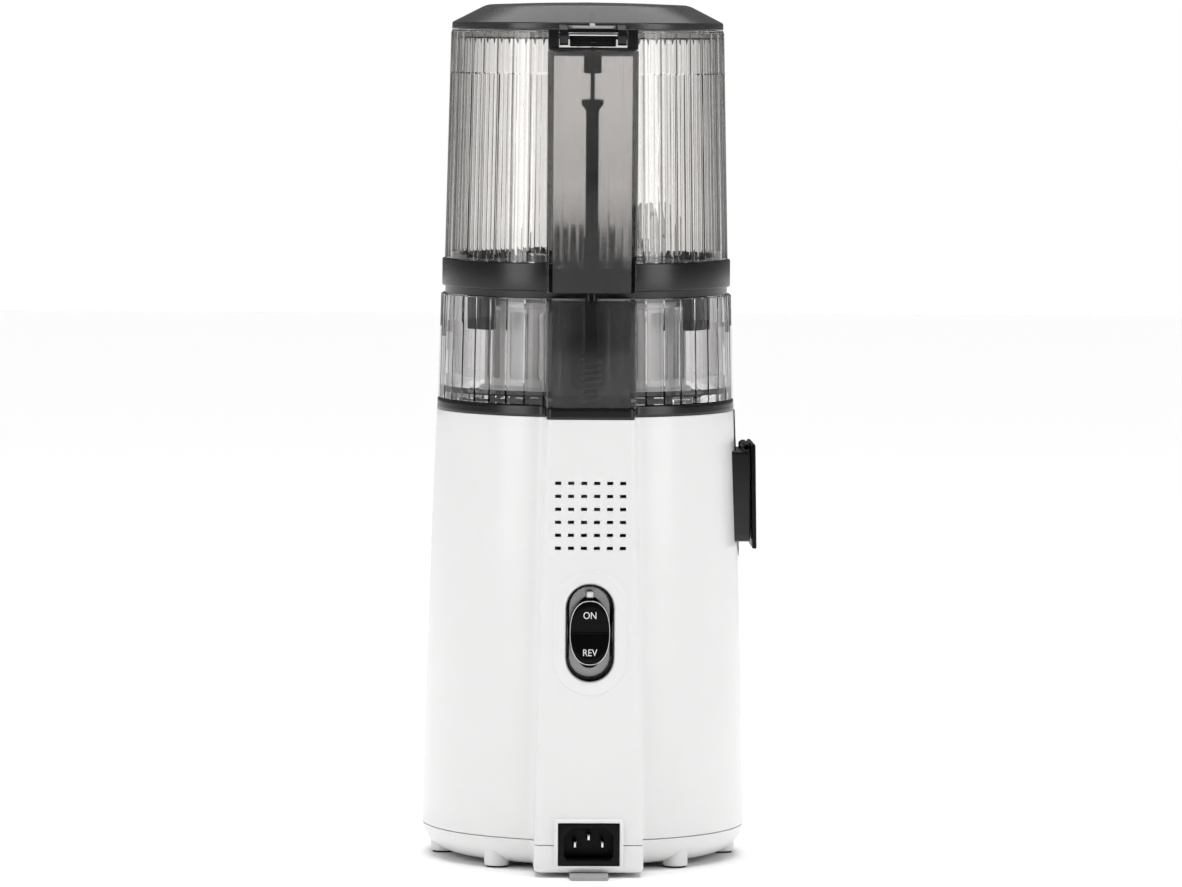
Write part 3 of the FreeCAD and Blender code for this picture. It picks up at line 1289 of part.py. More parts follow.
def hopper_outside():
    rim_r = HOPPER_TOP_R - RIM_INSET
    return faceted(FACETS, [(HOPPER_LOW_R, HOPPER_LOW_Z), (HOPPER_TOP_R, HOPPER_FACET_TOP_Z),
                            (rim_r, HOPPER_FACET_TOP_Z + RIM_STEP_H), (rim_r, HOPPER_TOP_Z)])


def hopper():
    low = HOPPER_LOW_R - HOPPER_WALL
    top = HOPPER_TOP_R - HOPPER_WALL
    share = (STEP_Z - HOPPER_LOW_Z) / (HOPPER_FACET_TOP_Z - HOPPER_LOW_Z)
    step = low + share * (top - low)
    inside = faceted(FACETS, [(low, HOPPER_LOW_Z - EXTRA), (step, STEP_Z),
                              (step + STEP_INSET, STEP_Z + STEP_INSET),
                              (top + STEP_INSET, HOPPER_TOP_Z + EXTRA)])
    return hopper_outside().cut(inside)


def collar_outside():
    return disc(COLLAR_R, COLLAR_LOW_Z, HOPPER_LOW_Z)


def hopper_collar():
    plate = ring(COLLAR_SKIRT_IN_R + EXTRA, COLLAR_IN_R, COLLAR_PLATE_LOW_Z, HOPPER_LOW_Z)
    skirt = ring(COLLAR_R, COLLAR_SKIRT_IN_R, COLLAR_LOW_Z, HOPPER_LOW_Z)
    neck = ring(NECK_R, COLLAR_SKIRT_IN_R, NECK_LOW_Z, COLLAR_LOW_Z + EXTRA)
    pieces = [plate, skirt, neck]
    for angle in LUG_ANGLES:
        lug = box(LUG_R_IN, LUG_R_OUT, -LUG_HALF_W, LUG_HALF_W, LUG_LOW_Z, LUG_TOP_Z)
        bridge = box(LUG_R_IN, COLLAR_SKIRT_IN_R + EXTRA, -LUG_HALF_W, LUG_HALF_W, LUG_BRIDGE_Z, LUG_TOP_Z)
        pieces += [turned(lug, angle), turned(bridge, angle)]
    return join(pieces)


def hopper_tooth_ring():
    """The toothed ring on the hopper floor that keeps food from slipping round."""
    teeth = [ring(TOOTH_OUT_R, TOOTH_IN_R - TOOTH_BAND, HOPPER_LOW_Z, HOPPER_LOW_Z + TOOTH_H / 3)]
    for index in range(TOOTH_COUNT):
        tooth = box(TOOTH_IN_R, TOOTH_OUT_R - TOOTH_SET_BACK, -TOOTH_W / 2, TOOTH_W / 2,
                    HOPPER_LOW_Z, HOPPER_LOW_Z + TOOTH_H)
        teeth.append(turned(tooth, 360.0 * (index + 0.5) / TOOTH_COUNT))
    return join(teeth)


def interlock_channel():
    against = join([hopper_outside(), collar_outside()])
    walls = channel_tube(CHANNEL_LOW_Z, CHANNEL_TOP_Z, against)
    roof = box(-CHANNEL_HALF + EXTRA, CHANNEL_HALF - EXTRA, CHANNEL_ROOT_Y, CHANNEL_BACK_Y - EXTRA,
               CHANNEL_TOP_Z - CHANNEL_ROOF, CHANNEL_TOP_Z).cut(against)
    guide = disc(GUIDE_R, GUIDE_LOW_Z, CHANNEL_TOP_Z, 0, ROD_Y)
    return join([walls, roof, guide]).cut(disc(UP_ROD_TIP_R + GAP, 0, CHANNEL_TOP_Z + EXTRA, 0, ROD_Y))


def upper_interlock_rod():
    foot = disc(UP_ROD_FOOT_R, UP_ROD_LOW_Z, UP_ROD_FOOT_TOP_Z, 0, ROD_Y)
    stem = disc(UP_ROD_R, UP_ROD_FOOT_TOP_Z, UP_ROD_TAPER_Z, 0, ROD_Y)
    taper = Part.makeCone(UP_ROD_R, UP_ROD_FLANGE_R, UP_ROD_FLANGE_LOW_Z - UP_ROD_TAPER_Z,
                          vec(0, ROD_Y, UP_ROD_TAPER_Z))
    flange = disc(UP_ROD_FLANGE_R, UP_ROD_FLANGE_LOW_Z, UP_ROD_FLANGE_TOP_Z, 0, ROD_Y)
    tip = disc(UP_ROD_TIP_R, UP_ROD_FLANGE_TOP_Z, UP_ROD_TOP_Z, 0, ROD_Y)
    return join([foot, stem, taper, flange, tip])


def hinge_bracket():
    """The plate on the channel roof with a knuckle at each end."""
    plate = box(-CHANNEL_HALF + EXTRA, CHANNEL_HALF - EXTRA, BRACKET_FRONT_Y, CHANNEL_BACK_Y - EXTRA,
                CHANNEL_TOP_Z, CHANNEL_TOP_Z + BRACKET_T)
    pieces = [plate]
    for low_x, high_x in ((KNUCKLE_IN_X, HINGE_PIN_HALF), (-HINGE_PIN_HALF, -KNUCKLE_IN_X)):
        pieces.append(rod_x(KNUCKLE_R, low_x, high_x, HINGE_Y, HINGE_Z))
        pieces.append(box(max(low_x, EXTRA - CHANNEL_HALF), min(high_x, CHANNEL_HALF - EXTRA),
                          HINGE_Y - KNUCKLE_R, HINGE_Y + KNUCKLE_R, CHANNEL_TOP_Z, HINGE_Z))
    body = join(pieces)
    return body.cut([rod_x(HINGE_PIN_R, -2 * CHANNEL_HALF, 2 * CHANNEL_HALF, HINGE_Y, HINGE_Z),
                     disc(UP_ROD_TIP_R + GAP, 0, HINGE_Z, 0, ROD_Y)])


def hinge_pin():
    return rod_x(HINGE_PIN_R, -HINGE_PIN_HALF, HINGE_PIN_HALF, HINGE_Y, HINGE_Z)


def lid():
    shell = revolved([(0, LID_CROWN_Z), (LID_CONE_R, LID_CONE_Z), (LID_R, LID_RIM_Z), (LID_R, LID_LOW_Z),
                      (LID_SKIRT_IN_R, LID_LOW_Z), (LID_CONE_R - EXTRA, LID_CONE_Z - LID_WALL),
                      (0, LID_CROWN_Z - LID_WALL)])
    skirt = ring(LID_SKIRT_OUT_R, LID_SKIRT_IN_R, LID_SKIRT_LOW_Z, LID_LOW_Z + EXTRA)
    pieces = [shell, skirt]
    for low_x, high_x in ((ARM_IN_X, ARM_OUT_X), (-ARM_OUT_X, -ARM_IN_X)):
        arm = box(low_x, high_x, ARM_ROOT_Y, HINGE_Y, LID_LOW_Z, HINGE_Z + ARM_R)
        drop = box(low_x, high_x, ARM_DROP_Y, HINGE_Y, ARM_DROP_Z, HINGE_Z + ARM_R)
        lobe = box(low_x, high_x, ARM_LOBE_FRONT_Y, ARM_LOBE_BACK_Y, ARM_LOBE_Z, HINGE_Z)
        pieces += [arm, drop, lobe, rod_x(ARM_R, low_x, high_x, HINGE_Y, HINGE_Z)]
    body = join(pieces)
    return body.cut(rod_x(HINGE_PIN_R + RUN, -CHANNEL_HALF, CHANNEL_HALF, HINGE_Y, HINGE_Z))


def lid_striker():
    """The bar between the lid arms that presses the rod down when the lid is shut."""
    bar = box(-STRIKER_HALF, STRIKER_HALF, STRIKER_FRONT_Y, STRIKER_BACK_Y, STRIKER_LOW_Z, STRIKER_TOP_Z)
    web = box(-ARM_IN_X, ARM_IN_X, STRIKER_FRONT_Y, HINGE_Y - HINGE_PIN_R - 2 * RUN,
              STRIKER_TOP_Z, HINGE_Z + ARM_R)
    room = rod_x(HINGE_PIN_R + RUN, -CHANNEL_HALF, CHANNEL_HALF, HINGE_Y, HINGE_Z)
    peg = rod_y(STRIKER_PEG_R, STRIKER_BACK_Y, STRIKER_BACK_Y + EXTRA, 0, STRIKER_PEG_Z)
    return join([bar, web, peg]).cut(room)


def lid_gasket():
    return ring(GASKET_R, LID_SKIRT_OUT_R, GASKET_LOW_Z, GASKET_TOP_Z)


def main():
    wall = shell_wall()
    shell = join([body_shell(wall)] + board_posts().Solids)
    pieces = {
        "body_shell": shell,
        "base_cover": base_cover(wall),
        "rubber_feet": rubber_feet(),
        "rear_stand_tab": rear_stand_tab(),
        "housing_screws": housing_screws(),
        "top_deck": top_deck(),
        "spout_apron": spout_apron(),
        "switch_bezel": switch_bezel(),
        "rocker_switch": rocker_switch(),
        "switch_body": switch_body(),
        "power_inlet": power_inlet(),
        "inlet_pins": inlet_pins(),
        "motor_stator": motor_stator(),
        "stator_windings": stator_windings(),
        "motor_rotor": motor_rotor(),
        "cooling_fan": cooling_fan(),
        "lower_motor_frame": lower_motor_frame(),
        "upper_motor_frame": upper_motor_frame(),
        "motor_bearings": motor_bearings(),
        "motor_pinion": motor_pinion(),
        "lay_gear": lay_gear(),
        "lay_pinion": lay_pinion(),
        "lay_shaft": lay_shaft(),
        "output_gear": output_gear(),
        "output_shaft": output_shaft(),
        "output_bearings": output_bearings(),
        "shaft_seal": shaft_seal(),
        "gearbox_cover": gearbox_cover(),
        "gearbox_housing": gearbox_housing(),
        "motor_mounts": motor_mounts(),
        "control_board": control_board(),
        "board_components": board_components(),
        "lid_microswitch": lid_microswitch(),
        "switch_plunger": switch_plunger(),
        "pulp_spout": pulp_spout(),
        "pulp_flap": pulp_flap(),
        "pulp_flap_pin": pulp_flap_pin(),
        "drum": drum(),
        "drum_channel": drum_channel(),
        "drum_seal": drum_seal(),
        "lower_interlock_rod": lower_interlock_rod(),
        "rod_spring": rod_spring(),
        "filter_basket": filter_basket(),
        "filter_mesh": filter_mesh(),
        "auger": auger(),
        "auger_socket": auger_socket(),
        "cutting_wing": cutting_wing(),
        "juice_spout": juice_spout(),
        "juice_cap": juice_cap(),
        "juice_cap_pin": juice_cap_pin(),
        "hopper": hopper(),
        "hopper_collar": hopper_collar(),
        "hopper_tooth_ring": hopper_tooth_ring(),
        "interlock_channel": interlock_channel(),
        "upper_interlock_rod": upper_interlock_rod(),
        "hinge_bracket": hinge_bracket(),
        "hinge_pin": hinge_pin(),
        "lid": lid(),
        "lid_striker": lid_striker(),
        "lid_gasket": lid_gasket(),
    }
    for name, shape in pieces.items():
        save(name, shape)


main()
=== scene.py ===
import json
import math

import bmesh
import bpy
from mathutils import Matrix, Vector


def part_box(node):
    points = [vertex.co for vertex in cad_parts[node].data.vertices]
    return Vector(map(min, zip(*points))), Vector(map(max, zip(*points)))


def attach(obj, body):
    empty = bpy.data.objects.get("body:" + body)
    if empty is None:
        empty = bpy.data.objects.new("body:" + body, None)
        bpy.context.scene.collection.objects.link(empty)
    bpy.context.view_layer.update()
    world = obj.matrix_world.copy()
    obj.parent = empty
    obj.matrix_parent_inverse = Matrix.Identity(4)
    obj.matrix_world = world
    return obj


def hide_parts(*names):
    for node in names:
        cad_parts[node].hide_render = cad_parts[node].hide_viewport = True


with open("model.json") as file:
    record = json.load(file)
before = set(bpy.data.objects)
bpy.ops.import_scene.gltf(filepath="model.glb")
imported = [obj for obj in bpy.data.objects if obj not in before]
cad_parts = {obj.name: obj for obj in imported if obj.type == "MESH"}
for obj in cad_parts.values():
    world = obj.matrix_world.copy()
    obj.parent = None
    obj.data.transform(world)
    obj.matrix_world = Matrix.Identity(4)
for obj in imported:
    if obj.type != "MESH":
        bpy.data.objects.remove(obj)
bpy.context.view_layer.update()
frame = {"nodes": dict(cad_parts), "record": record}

# Lengths below are in millimetres, in the CAD frame: origin on the auger axis at the
# ground, +Z up, +Y the back with the switch, -X the side with the pulp outlet.
MM = 0.001
TAU = 2 * math.pi
HAIR = 0.05              # smallest gap kept between pieces


def node_box(node):
    """Lowest and highest corner of a CAD node, in millimetres."""
    low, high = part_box(node)
    return low / MM, high / MM


# Places read from the CAD model
DECK_TOP = node_box("top_deck")[1].z
DRUM_LOW, DRUM_HIGH = node_box("drum")
HOPPER_LOW, HOPPER_HIGH = node_box("hopper")
CHANNEL_LOW, CHANNEL_HIGH = node_box("interlock_channel")

# Housing
FLOOR_Z = 2.5
SEAM_Z = 16.6
SEAM_GAP = 0.35
SHELL_TOP_Z = 233.0
WALL = 2.5
FLOOR_R = 68.0
LOW_R = 84.1
LOW_Z = 19.0
MID_R = 81.35
MID_Z = 125.0
TOP_R = 77.15
TOP_Z = 238.8
SPINE_LOW_Y = 103.0
SPINE_TOP_Y = 96.0
SPINE_LOW_HALF = 28.0
SPINE_TOP_HALF = 22.5
SPINE_EDGE = 3.0
SPINE_ROOT = 5.0
SPINE_FOOT = 2.5
EDGE = 0.45

# Hopper, drum and the covers over the interlock rod behind them
HOPPER_LOW_R = 73.7
HOPPER_TOP_R = 71.0
HOPPER_WALL = 2.6
REED_TOP_Z = 428.6
DRUM_LOW_R = 76.8
DRUM_TOP_R = 75.6
DRUM_WALL = 2.8
COLLAR_R = 75.0
COLLAR_LOW_Z = 297.3
COLLAR_TOP_Z = 311.4
LUG_ANGLES = (35, 145, 215, 325)
ROD_Y = 84.5
COVER_HALF = 20.0 - HAIR
COVER_SIDE_HALF = 23.0
COVER_ROOT_Y = 66.0
COVER_FACE_Y = 92.0
COVER_BACK_Y = 95.0
COVER_WALL = 3.0
ROD_HOLE_R = 3.2
ROD_NECK_R = 1.3         # hole for the rod's thin upper end
SPOUT_Z = 254.0

# Pulp path, front panel and the slots under the base
PULP_SLOT = (-46, -33, -12, 12)
DUCT_LOW_Z = 164.8
DUCT_TOP_Z = 212.1
DUCT_HALF = 20.0
PANEL_LOW_Z = 156.0
PANEL_TOP_Z = 232.8
PANEL_START = 174        # degrees round from +X
PANEL_END = 318
PANEL_T = 0.6
AIR_SLOTS = 7
AIR_SLOT_PITCH = 9.0

# Where painted shade darkens the channel towards its foot, and how a clear wall darkens as it turns
# away: 0 is square on to the line of sight and 1 is edge on
FOOT_SHADE_LOW_Z = 300.0
FOOT_SHADE_HIGH_Z = 352.0
SLANT_START = 0.30
SLANT_END = 0.75


# ---------------------------------------------------------------- mesh tools

def make_object(name, verts, faces):
    mesh = bpy.data.meshes.new(name)
    mesh.from_pydata([Vector(v) * MM for v in verts], [], faces)
    mesh.validate()
    obj = bpy.data.objects.new(name, mesh)
    bpy.context.scene.collection.objects.link(obj)
    tidy_normals(obj)
    return obj


def tidy_normals(obj):
    work = bmesh.new()
    work.from_mesh(obj.data)
    bmesh.ops.remove_doubles(work, verts=work.verts, dist=1e-6)
    bmesh.ops.recalc_face_normals(work, faces=work.faces)
    work.to_mesh(obj.data)
    work.free()


def smooth(obj, degrees=32):
    for polygon in obj.data.polygons:
        polygon.use_smooth = True
    obj.data.set_sharp_from_angle(angle=math.radians(degrees))
    return obj


def between(z, low_z, high_z, low_value, high_value):
    """A value that changes evenly from one height to another."""
    return low_value + (z - low_z) / (high_z - low_z) * (high_value - low_value)


def rectangle(x0, x1, y0, y1):
    return [(x0, y0), (x1, y0), (x1, y1), (x0, y1)]


def scaled(outline, x, z, wide, high):
    """An outline stretched about a point."""
    return [(x + (u - x) * wide, z + (v - z) * high) for u, v in outline]


def lofted(name, rings, loop=False):
    """A skin through rings of equal point counts. loop joins the last ring to the first."""
    count = len(rings[0])
    verts = [p for ring in rings for p in ring]
    faces = []
    spans = len(rings) if loop else len(rings) - 1
    for i in range(spans):
        here = i * count
        there = ((i + 1) % len(rings)) * count
        for j in range(count):
            k = (j + 1) % count
            faces.append((here + j, here + k, there + k, there + j))
    if not loop:
        faces.append(tuple(range(count))[::-1])
        faces.append(tuple((len(rings) - 1) * count + j for j in range(count)))
    return make_object(name, verts, faces)


def rounded(points, radius, steps=3):
    """Round each corner of a 2D outline with a short curve. radius is one number or one per corner."""
    result = []
    count = len(points)
    for i, corner in enumerate(points):
        r = radius[i] if isinstance(radius, (list, tuple)) else radius
        if r <= 0:
            result.append(tuple(corner))
            continue
        here = Vector(corner)
        before = Vector(points[i - 1]) - here
        after = Vector(points[(i + 1) % count]) - here
        start = here + before.normalized() * min(r, before.length * 0.49)
        end = here + after.normalized() * min(r, after.length * 0.49)
        for step in range(steps + 1):
            t = step / steps
            point = start * (1 - t) ** 2 + here * 2 * t * (1 - t) + end * t ** 2
            result.append(tuple(point))
    return result


def turned(name, profile, segments=144, x=0.0, y=0.0):
    """Turn a closed (radius, z) outline about a vertical axis."""
    rings = []
    for r, z in profile:
        ring = []
        for i in range(segments):
            a = TAU * i / segments
            ring.append((x + max(r, 0.01) * math.cos(a), y + max(r, 0.01) * math.sin(a), z))
        rings.append(ring)
    return smooth(lofted(name, rings, loop=True))


def pressed(name, outline, low, high, axis="y", edge=0.3, steps=2):
    """Push a 2D outline out along an axis, with its rim edges rounded.

    For axis y the outline is (x, z), for x it is (y, z), and for z it is (x, y).
    """
    def place(u, v, w):
        return {"x": (w, u, v), "y": (u, w, v), "z": (u, v, w)}[axis]
    verts = [place(u, v, low) for u, v in outline] + [place(u, v, high) for u, v in outline]
    count = len(outline)
    faces = [tuple(range(count))[::-1], tuple(range(count, 2 * count))]
    for j in range(count):
        k = (j + 1) % count
        faces.append((j, k, count + k, count + j))
    obj = make_object(name, verts, faces)
    if edge > 0:
        bevel(obj, edge, steps)
    return smooth(obj)


def block(name, x0, x1, y0, y1, z0, z1, edge=0.5, steps=3):
    """A box with rounded edges."""
    return pressed(name, rectangle(x0, x1, z0, z1), y0, y1, "y", edge, steps)


def rod(name, radius, start, end, edge=0.2, segments=48):
    """A round bar between two points, with softened ends."""
    a, b = Vector(start), Vector(end)
    direction = (b - a).normalized()
    helper = Vector((0, 0, 1)) if abs(direction.z) < 0.9 else Vector((1, 0, 0))
    u = direction.cross(helper).normalized()
    v = direction.cross(u)
    length = (b - a).length
    stations = [(radius - edge, 0.0), (radius - edge * 0.3, edge * 0.3), (radius, edge),
                (radius, length - edge), (radius - edge * 0.3, length - edge * 0.3), (radius - edge, length)]
    angles = [TAU * i / segments for i in range(segments)]
    rings = []
    for r, s in stations:
        centre = a + direction * s
        rings.append([tuple(centre + (u * math.cos(turn) + v * math.sin(turn)) * r) for turn in angles])
    return smooth(lofted(name, rings))


def upright(name, radius, low, high, y=0.0):
    return rod(name, radius, (0, y, low), (0, y, high))


def crosswise(name, radius, half, y, z, edge=0.2, segments=48):
    return rod(name, radius, (-half, y, z), (half, y, z), edge, segments)


def side_pair(name, outline, near, far, edge):
    """Two plates of one outline, the same distance each side of the middle."""
    return [pressed(name, outline, *sorted((side * near, side * far)), "x", edge, 3) for side in (-1, 1)]


def barrel(name, stations, z, steps=72, loop=False):
    """A round form about a level line along Y, through (radius, y) stations."""
    circle = [(math.cos(TAU * i / steps), math.sin(TAU * i / steps)) for i in range(steps)]
    return lofted(name, [[(r * c, y, z + r * s) for c, s in circle] for r, y in stations], loop)


def bake_modifiers(obj):
    """Turn the modifiers into plain mesh."""
    graph = bpy.context.evaluated_depsgraph_get()
    mesh = bpy.data.meshes.new_from_object(obj.evaluated_get(graph))
    obj.modifiers.clear()
    obj.data = mesh
    return obj


def bevel(obj, width, steps=2, degrees=35):
    modifier = obj.modifiers.new("soft_edges", "BEVEL")
    modifier.width = width * MM
    modifier.segments = steps
    modifier.limit_method = "ANGLE"
    modifier.angle_limit = math.radians(degrees)
    modifier.use_clamp_overlap = True
    return bake_modifiers(obj)


def cut(obj, other):
    modifier = obj.modifiers.new("cut", "BOOLEAN")
    modifier.operation = "DIFFERENCE"
    modifier.solver = "EXACT"
    modifier.object = other
    bake_modifiers(obj)
    bpy.data.objects.remove(other)
    return obj


def joined(name, objects):
    """One object from several, keeping their meshes apart."""
    work = bmesh.new()
    for obj in objects:
        work.from_mesh(obj.data)
        bpy.data.objects.remove(obj)
    mesh = bpy.data.meshes.new(name)
    work.to_mesh(mesh)
    work.free()
    obj = bpy.data.objects.new(name, mesh)
    bpy.context.scene.collection.objects.link(obj)
    return smooth(obj)


def moved(obj, matrix):
    obj.data.transform(matrix)
    return obj


def spun(obj, degrees):
    return moved(obj, Matrix.Rotation(math.radians(degrees), 4, "Z"))


# ---------------------------------------------------------------- materials

# Noise scales are in cycles a metre
FLOW_SCALE = 22.0
HAZE_SCALE = 60.0
SCRATCH_SCALE = 350.0
HOLE_SCALE = 900.0
GRAIN_DEPTH = 0.00005
MOULDED_IOR = 1.46
CLEAR_IOR = 1.49


def shader(name):
    material = bpy.data.materials.new(name)
    material.use_nodes = True
    tree = material.node_tree
    return material, tree, tree.nodes["Principled BSDF"]


def object_place(tree):
    return tree.nodes.new("ShaderNodeTexCoord").outputs["Object"]


def noise_node(tree, scale, detail=3.0, roughness=0.55, place=None):
    noise = tree.nodes.new("ShaderNodeTexNoise")
    noise.inputs["Scale"].default_value = scale
    noise.inputs["Detail"].default_value = detail
    noise.inputs["Roughness"].default_value = roughness
    tree.links.new(place or object_place(tree), noise.inputs["Vector"])
    return noise.outputs["Fac"]


def ramp_node(tree, source, stops):
    ramp = tree.nodes.new("ShaderNodeValToRGB")
    tree.links.new(source, ramp.inputs["Fac"])
    elements = ramp.color_ramp.elements
    for i, (place, colour) in enumerate(stops):
        element = elements[i] if i < 2 else elements.new(place)
        element.position = place
        element.color = colour
    return ramp.outputs["Color"]


def range_node(tree, source, low, high):
    node = tree.nodes.new("ShaderNodeMapRange")
    node.inputs["To Min"].default_value = low
    node.inputs["To Max"].default_value = high
    tree.links.new(source, node.inputs["Value"])
    return node.outputs["Result"]


def bump_node(tree, source, strength):
    bump = tree.nodes.new("ShaderNodeBump")
    bump.inputs["Strength"].default_value = strength
    bump.inputs["Distance"].default_value = GRAIN_DEPTH
    tree.links.new(source, bump.inputs["Height"])
    return bump.outputs["Normal"]


def mixed(tree, factor, first, second, blend="MIX"):
    """Two colours mixed. A factor or colour is a plain value or the socket it comes from."""
    mix = tree.nodes.new("ShaderNodeMix")
    mix.data_type = "RGBA"
    mix.blend_type = blend
    for socket, value in ((mix.inputs["Factor"], factor), (mix.inputs[6], first), (mix.inputs[7], second)):
        if isinstance(value, (float, tuple)):
            socket.default_value = value
        else:
            tree.links.new(value, socket)
    return mix.outputs[2]


def grey(value, tint=(1.0, 1.0, 1.0)):
    return (value * tint[0], value * tint[1], value * tint[2], 1.0)


def drifting(tree, source, colour, spread):
    """A colour that gets a little lighter and darker with a noise."""
    low = tuple(c * (1 - spread) for c in colour[:3]) + (1.0,)
    high = tuple(min(1.0, c * (1 + spread)) for c in colour[:3]) + (1.0,)
    return ramp_node(tree, source, [(0.3, low), (0.7, high)])


def moulded(name, colour, spread, roughness, grain_scale=900.0, grain=0.05, coat=0.0, coat_roughness=0.1,
            specular=0.5):
    """Moulded plastic: a faint flow variation in colour, uneven gloss and a fine mould grain."""
    material, tree, principled = shader(name)
    tint = drifting(tree, noise_node(tree, FLOW_SCALE), colour, spread)
    tree.links.new(tint, principled.inputs["Base Color"])
    mould = noise_node(tree, grain_scale, 2.0)
    tree.links.new(range_node(tree, mould, roughness * 0.85, roughness * 1.15),
                   principled.inputs["Roughness"])
    if grain > 0:
        tree.links.new(bump_node(tree, mould, grain), principled.inputs["Normal"])
    principled.inputs["IOR"].default_value = MOULDED_IOR
    principled.inputs["Specular IOR Level"].default_value = specular
    principled.inputs["Coat Weight"].default_value = coat
    principled.inputs["Coat Roughness"].default_value = coat_roughness
    return material


def clear_plastic(name, tint, spread, roughness, clearness=1.0, edge_on=1.0):
    """See-through tinted plastic with a faint haze. Its tint is multiplied by edge_on where it is edge on."""
    material, tree, principled = shader(name)
    haze = noise_node(tree, HAZE_SCALE, 2.0)
    colour = drifting(tree, haze, tint, spread)
    if edge_on < 1:
        slant = tree.nodes.new("ShaderNodeLayerWeight").outputs["Facing"]
        deeper = ramp_node(tree, slant, [(SLANT_START, grey(1.0)), (SLANT_END, grey(edge_on))])
        colour = mixed(tree, 1.0, colour, deeper, "MULTIPLY")
    tree.links.new(colour, principled.inputs["Base Color"])
    tree.links.new(range_node(tree, haze, roughness * 0.6, roughness * 1.4), principled.inputs["Roughness"])
    principled.inputs["Transmission Weight"].default_value = clearness
    principled.inputs["IOR"].default_value = CLEAR_IOR
    return material


def metal(name, colour, roughness, brushed=0.0):
    """Metal with fine scratches; brushed stretches them round the vertical axis."""
    material, tree, principled = shader(name)
    mapping = tree.nodes.new("ShaderNodeMapping")
    mapping.inputs["Scale"].default_value = (1.0, 1.0, 1.0 + 40.0 * brushed)
    tree.links.new(object_place(tree), mapping.inputs["Vector"])
    scratches = noise_node(tree, SCRATCH_SCALE, 4.0, 0.5, mapping.outputs["Vector"])
    low = tuple(c * 0.88 for c in colour[:3]) + (1.0,)
    tone = ramp_node(tree, scratches, [(0.35, low), (0.65, tuple(colour[:3]) + (1.0,))])
    tree.links.new(tone, principled.inputs["Base Color"])
    gloss = range_node(tree, scratches, roughness * 0.7, roughness * 1.3)
    tree.links.new(gloss, principled.inputs["Roughness"])
    principled.inputs["Metallic"].default_value = 1.0
    return material


def painted_foot_shade(material, tint):
    """Paint shade into a clear material: its base colour darkens towards the foot of the channel."""
    tree = material.node_tree
    split = tree.nodes.new("ShaderNodeSeparateXYZ")
    tree.links.new(object_place(tree), split.inputs["Vector"])
    place = tree.nodes.new("ShaderNodeMapRange")
    place.inputs["From Min"].default_value = FOOT_SHADE_LOW_Z * MM
    place.inputs["From Max"].default_value = FOOT_SHADE_HIGH_Z * MM
    tree.links.new(split.outputs["Z"], place.inputs["Value"])
    # painted shade: the base colour runs from dark grey at the foot up to the tint
    tone = ramp_node(tree, place.outputs["Result"], [(0.0, grey(0.10)), (1.0, tint)])
    tree.links.new(tone, tree.nodes["Principled BSDF"].inputs["Base Color"])
    return material


def perforated(name):
    """Thin steel sheet with rows of fine dark holes."""
    material = metal(name, (0.40, 0.40, 0.40), 0.40)
    tree = material.node_tree
    holes = tree.nodes.new("ShaderNodeTexVoronoi")
    holes.inputs["Scale"].default_value = HOLE_SCALE
    holes.inputs["Randomness"].default_value = 0.0
    tree.links.new(object_place(tree), holes.inputs["Vector"])
    tone = ramp_node(tree, holes.outputs["Distance"], [(0.22, grey(0.10)), (0.30, grey(0.40))])
    tree.links.new(tone, tree.nodes["Principled BSDF"].inputs["Base Color"])
    return material


MATERIALS = {
    "white_shell": moulded("white_abs", grey(0.80, (1.0, 1.0, 0.995)), 0.012, 0.30, 1400.0, 0.035, coat=0.25,
                           coat_roughness=0.18),
    "black_satin": moulded("black_satin", grey(0.007), 0.15, 0.25, 1100.0, 0.05),
    "black_gloss": moulded("black_gloss", grey(0.003), 0.15, 0.12, 800.0, 0.0, specular=0.08),
    "grey_plastic": moulded("grey_plastic", grey(0.36), 0.03, 0.42, 1100.0, 0.06),
    "pale_plastic": moulded("pale_plastic", grey(0.74, (1.0, 0.995, 0.985)), 0.02, 0.28, 900.0, 0.03),
    "gear_plastic": moulded("gear_plastic", grey(0.70, (1.0, 0.97, 0.88)), 0.03, 0.45, 900.0, 0.05),
    "smoke_clear": clear_plastic("smoke_clear", grey(0.90, (1.0, 0.985, 0.97)), 0.01, 0.01, edge_on=0.32),
    "smoke_dark": clear_plastic("smoke_dark", grey(0.16), 0.02, 0.05),
    "bezel_grey": metal("bezel_grey", (0.42, 0.42, 0.42), 0.24),
    "steel": metal("steel", (0.50, 0.50, 0.51), 0.32, 0.5),
    "bright_metal": metal("bright_metal", (0.78, 0.78, 0.78), 0.16, 0.2),
    "aluminium": metal("aluminium", (0.62, 0.62, 0.63), 0.42),
    "copper": metal("copper", (0.62, 0.30, 0.16), 0.35, 1.0),
    "rubber": moulded("rubber", grey(0.025), 0.12, 0.62, 1300.0, 0.15),
    "silicone": moulded("silicone", grey(0.46), 0.03, 0.50, 900.0, 0.05),
    "circuit_board": moulded("circuit_board", (0.03, 0.17, 0.07, 1.0), 0.10, 0.35, 600.0, 0.08),
}
DEEP_BLACK = moulded("black_matt", grey(0.005), 0.15, 0.30, 1100.0, 0.05, specular=0.15)
FROSTED_TINT = grey(0.64, (1.0, 0.98, 0.97))
# the frosted channel back, with painted shade towards its foot
FROSTED = painted_foot_shade(clear_plastic("smoke_frosted", FROSTED_TINT, 0.02, 0.15), FROSTED_TINT)
LID_SMOKE = clear_plastic("smoke_lid", grey(0.06), 0.03, 0.24, 0.55)
MESH_STEEL = perforated("filter_steel")
DRUM_SMOKE = clear_plastic("smoke_drum", grey(0.84, (1.0, 0.99, 0.99)), 0.01, 0.01, edge_on=0.50)
WING_SMOKE = clear_plastic("smoke_wing", grey(0.40), 0.02, 0.04)
FROSTED_DARK = clear_plastic("smoke_frosted_dark", grey(0.20), 0.08, 0.16)
SLOT_OF = {row["node"]: row["material_slot"] for row in frame["record"]["subparts"]}


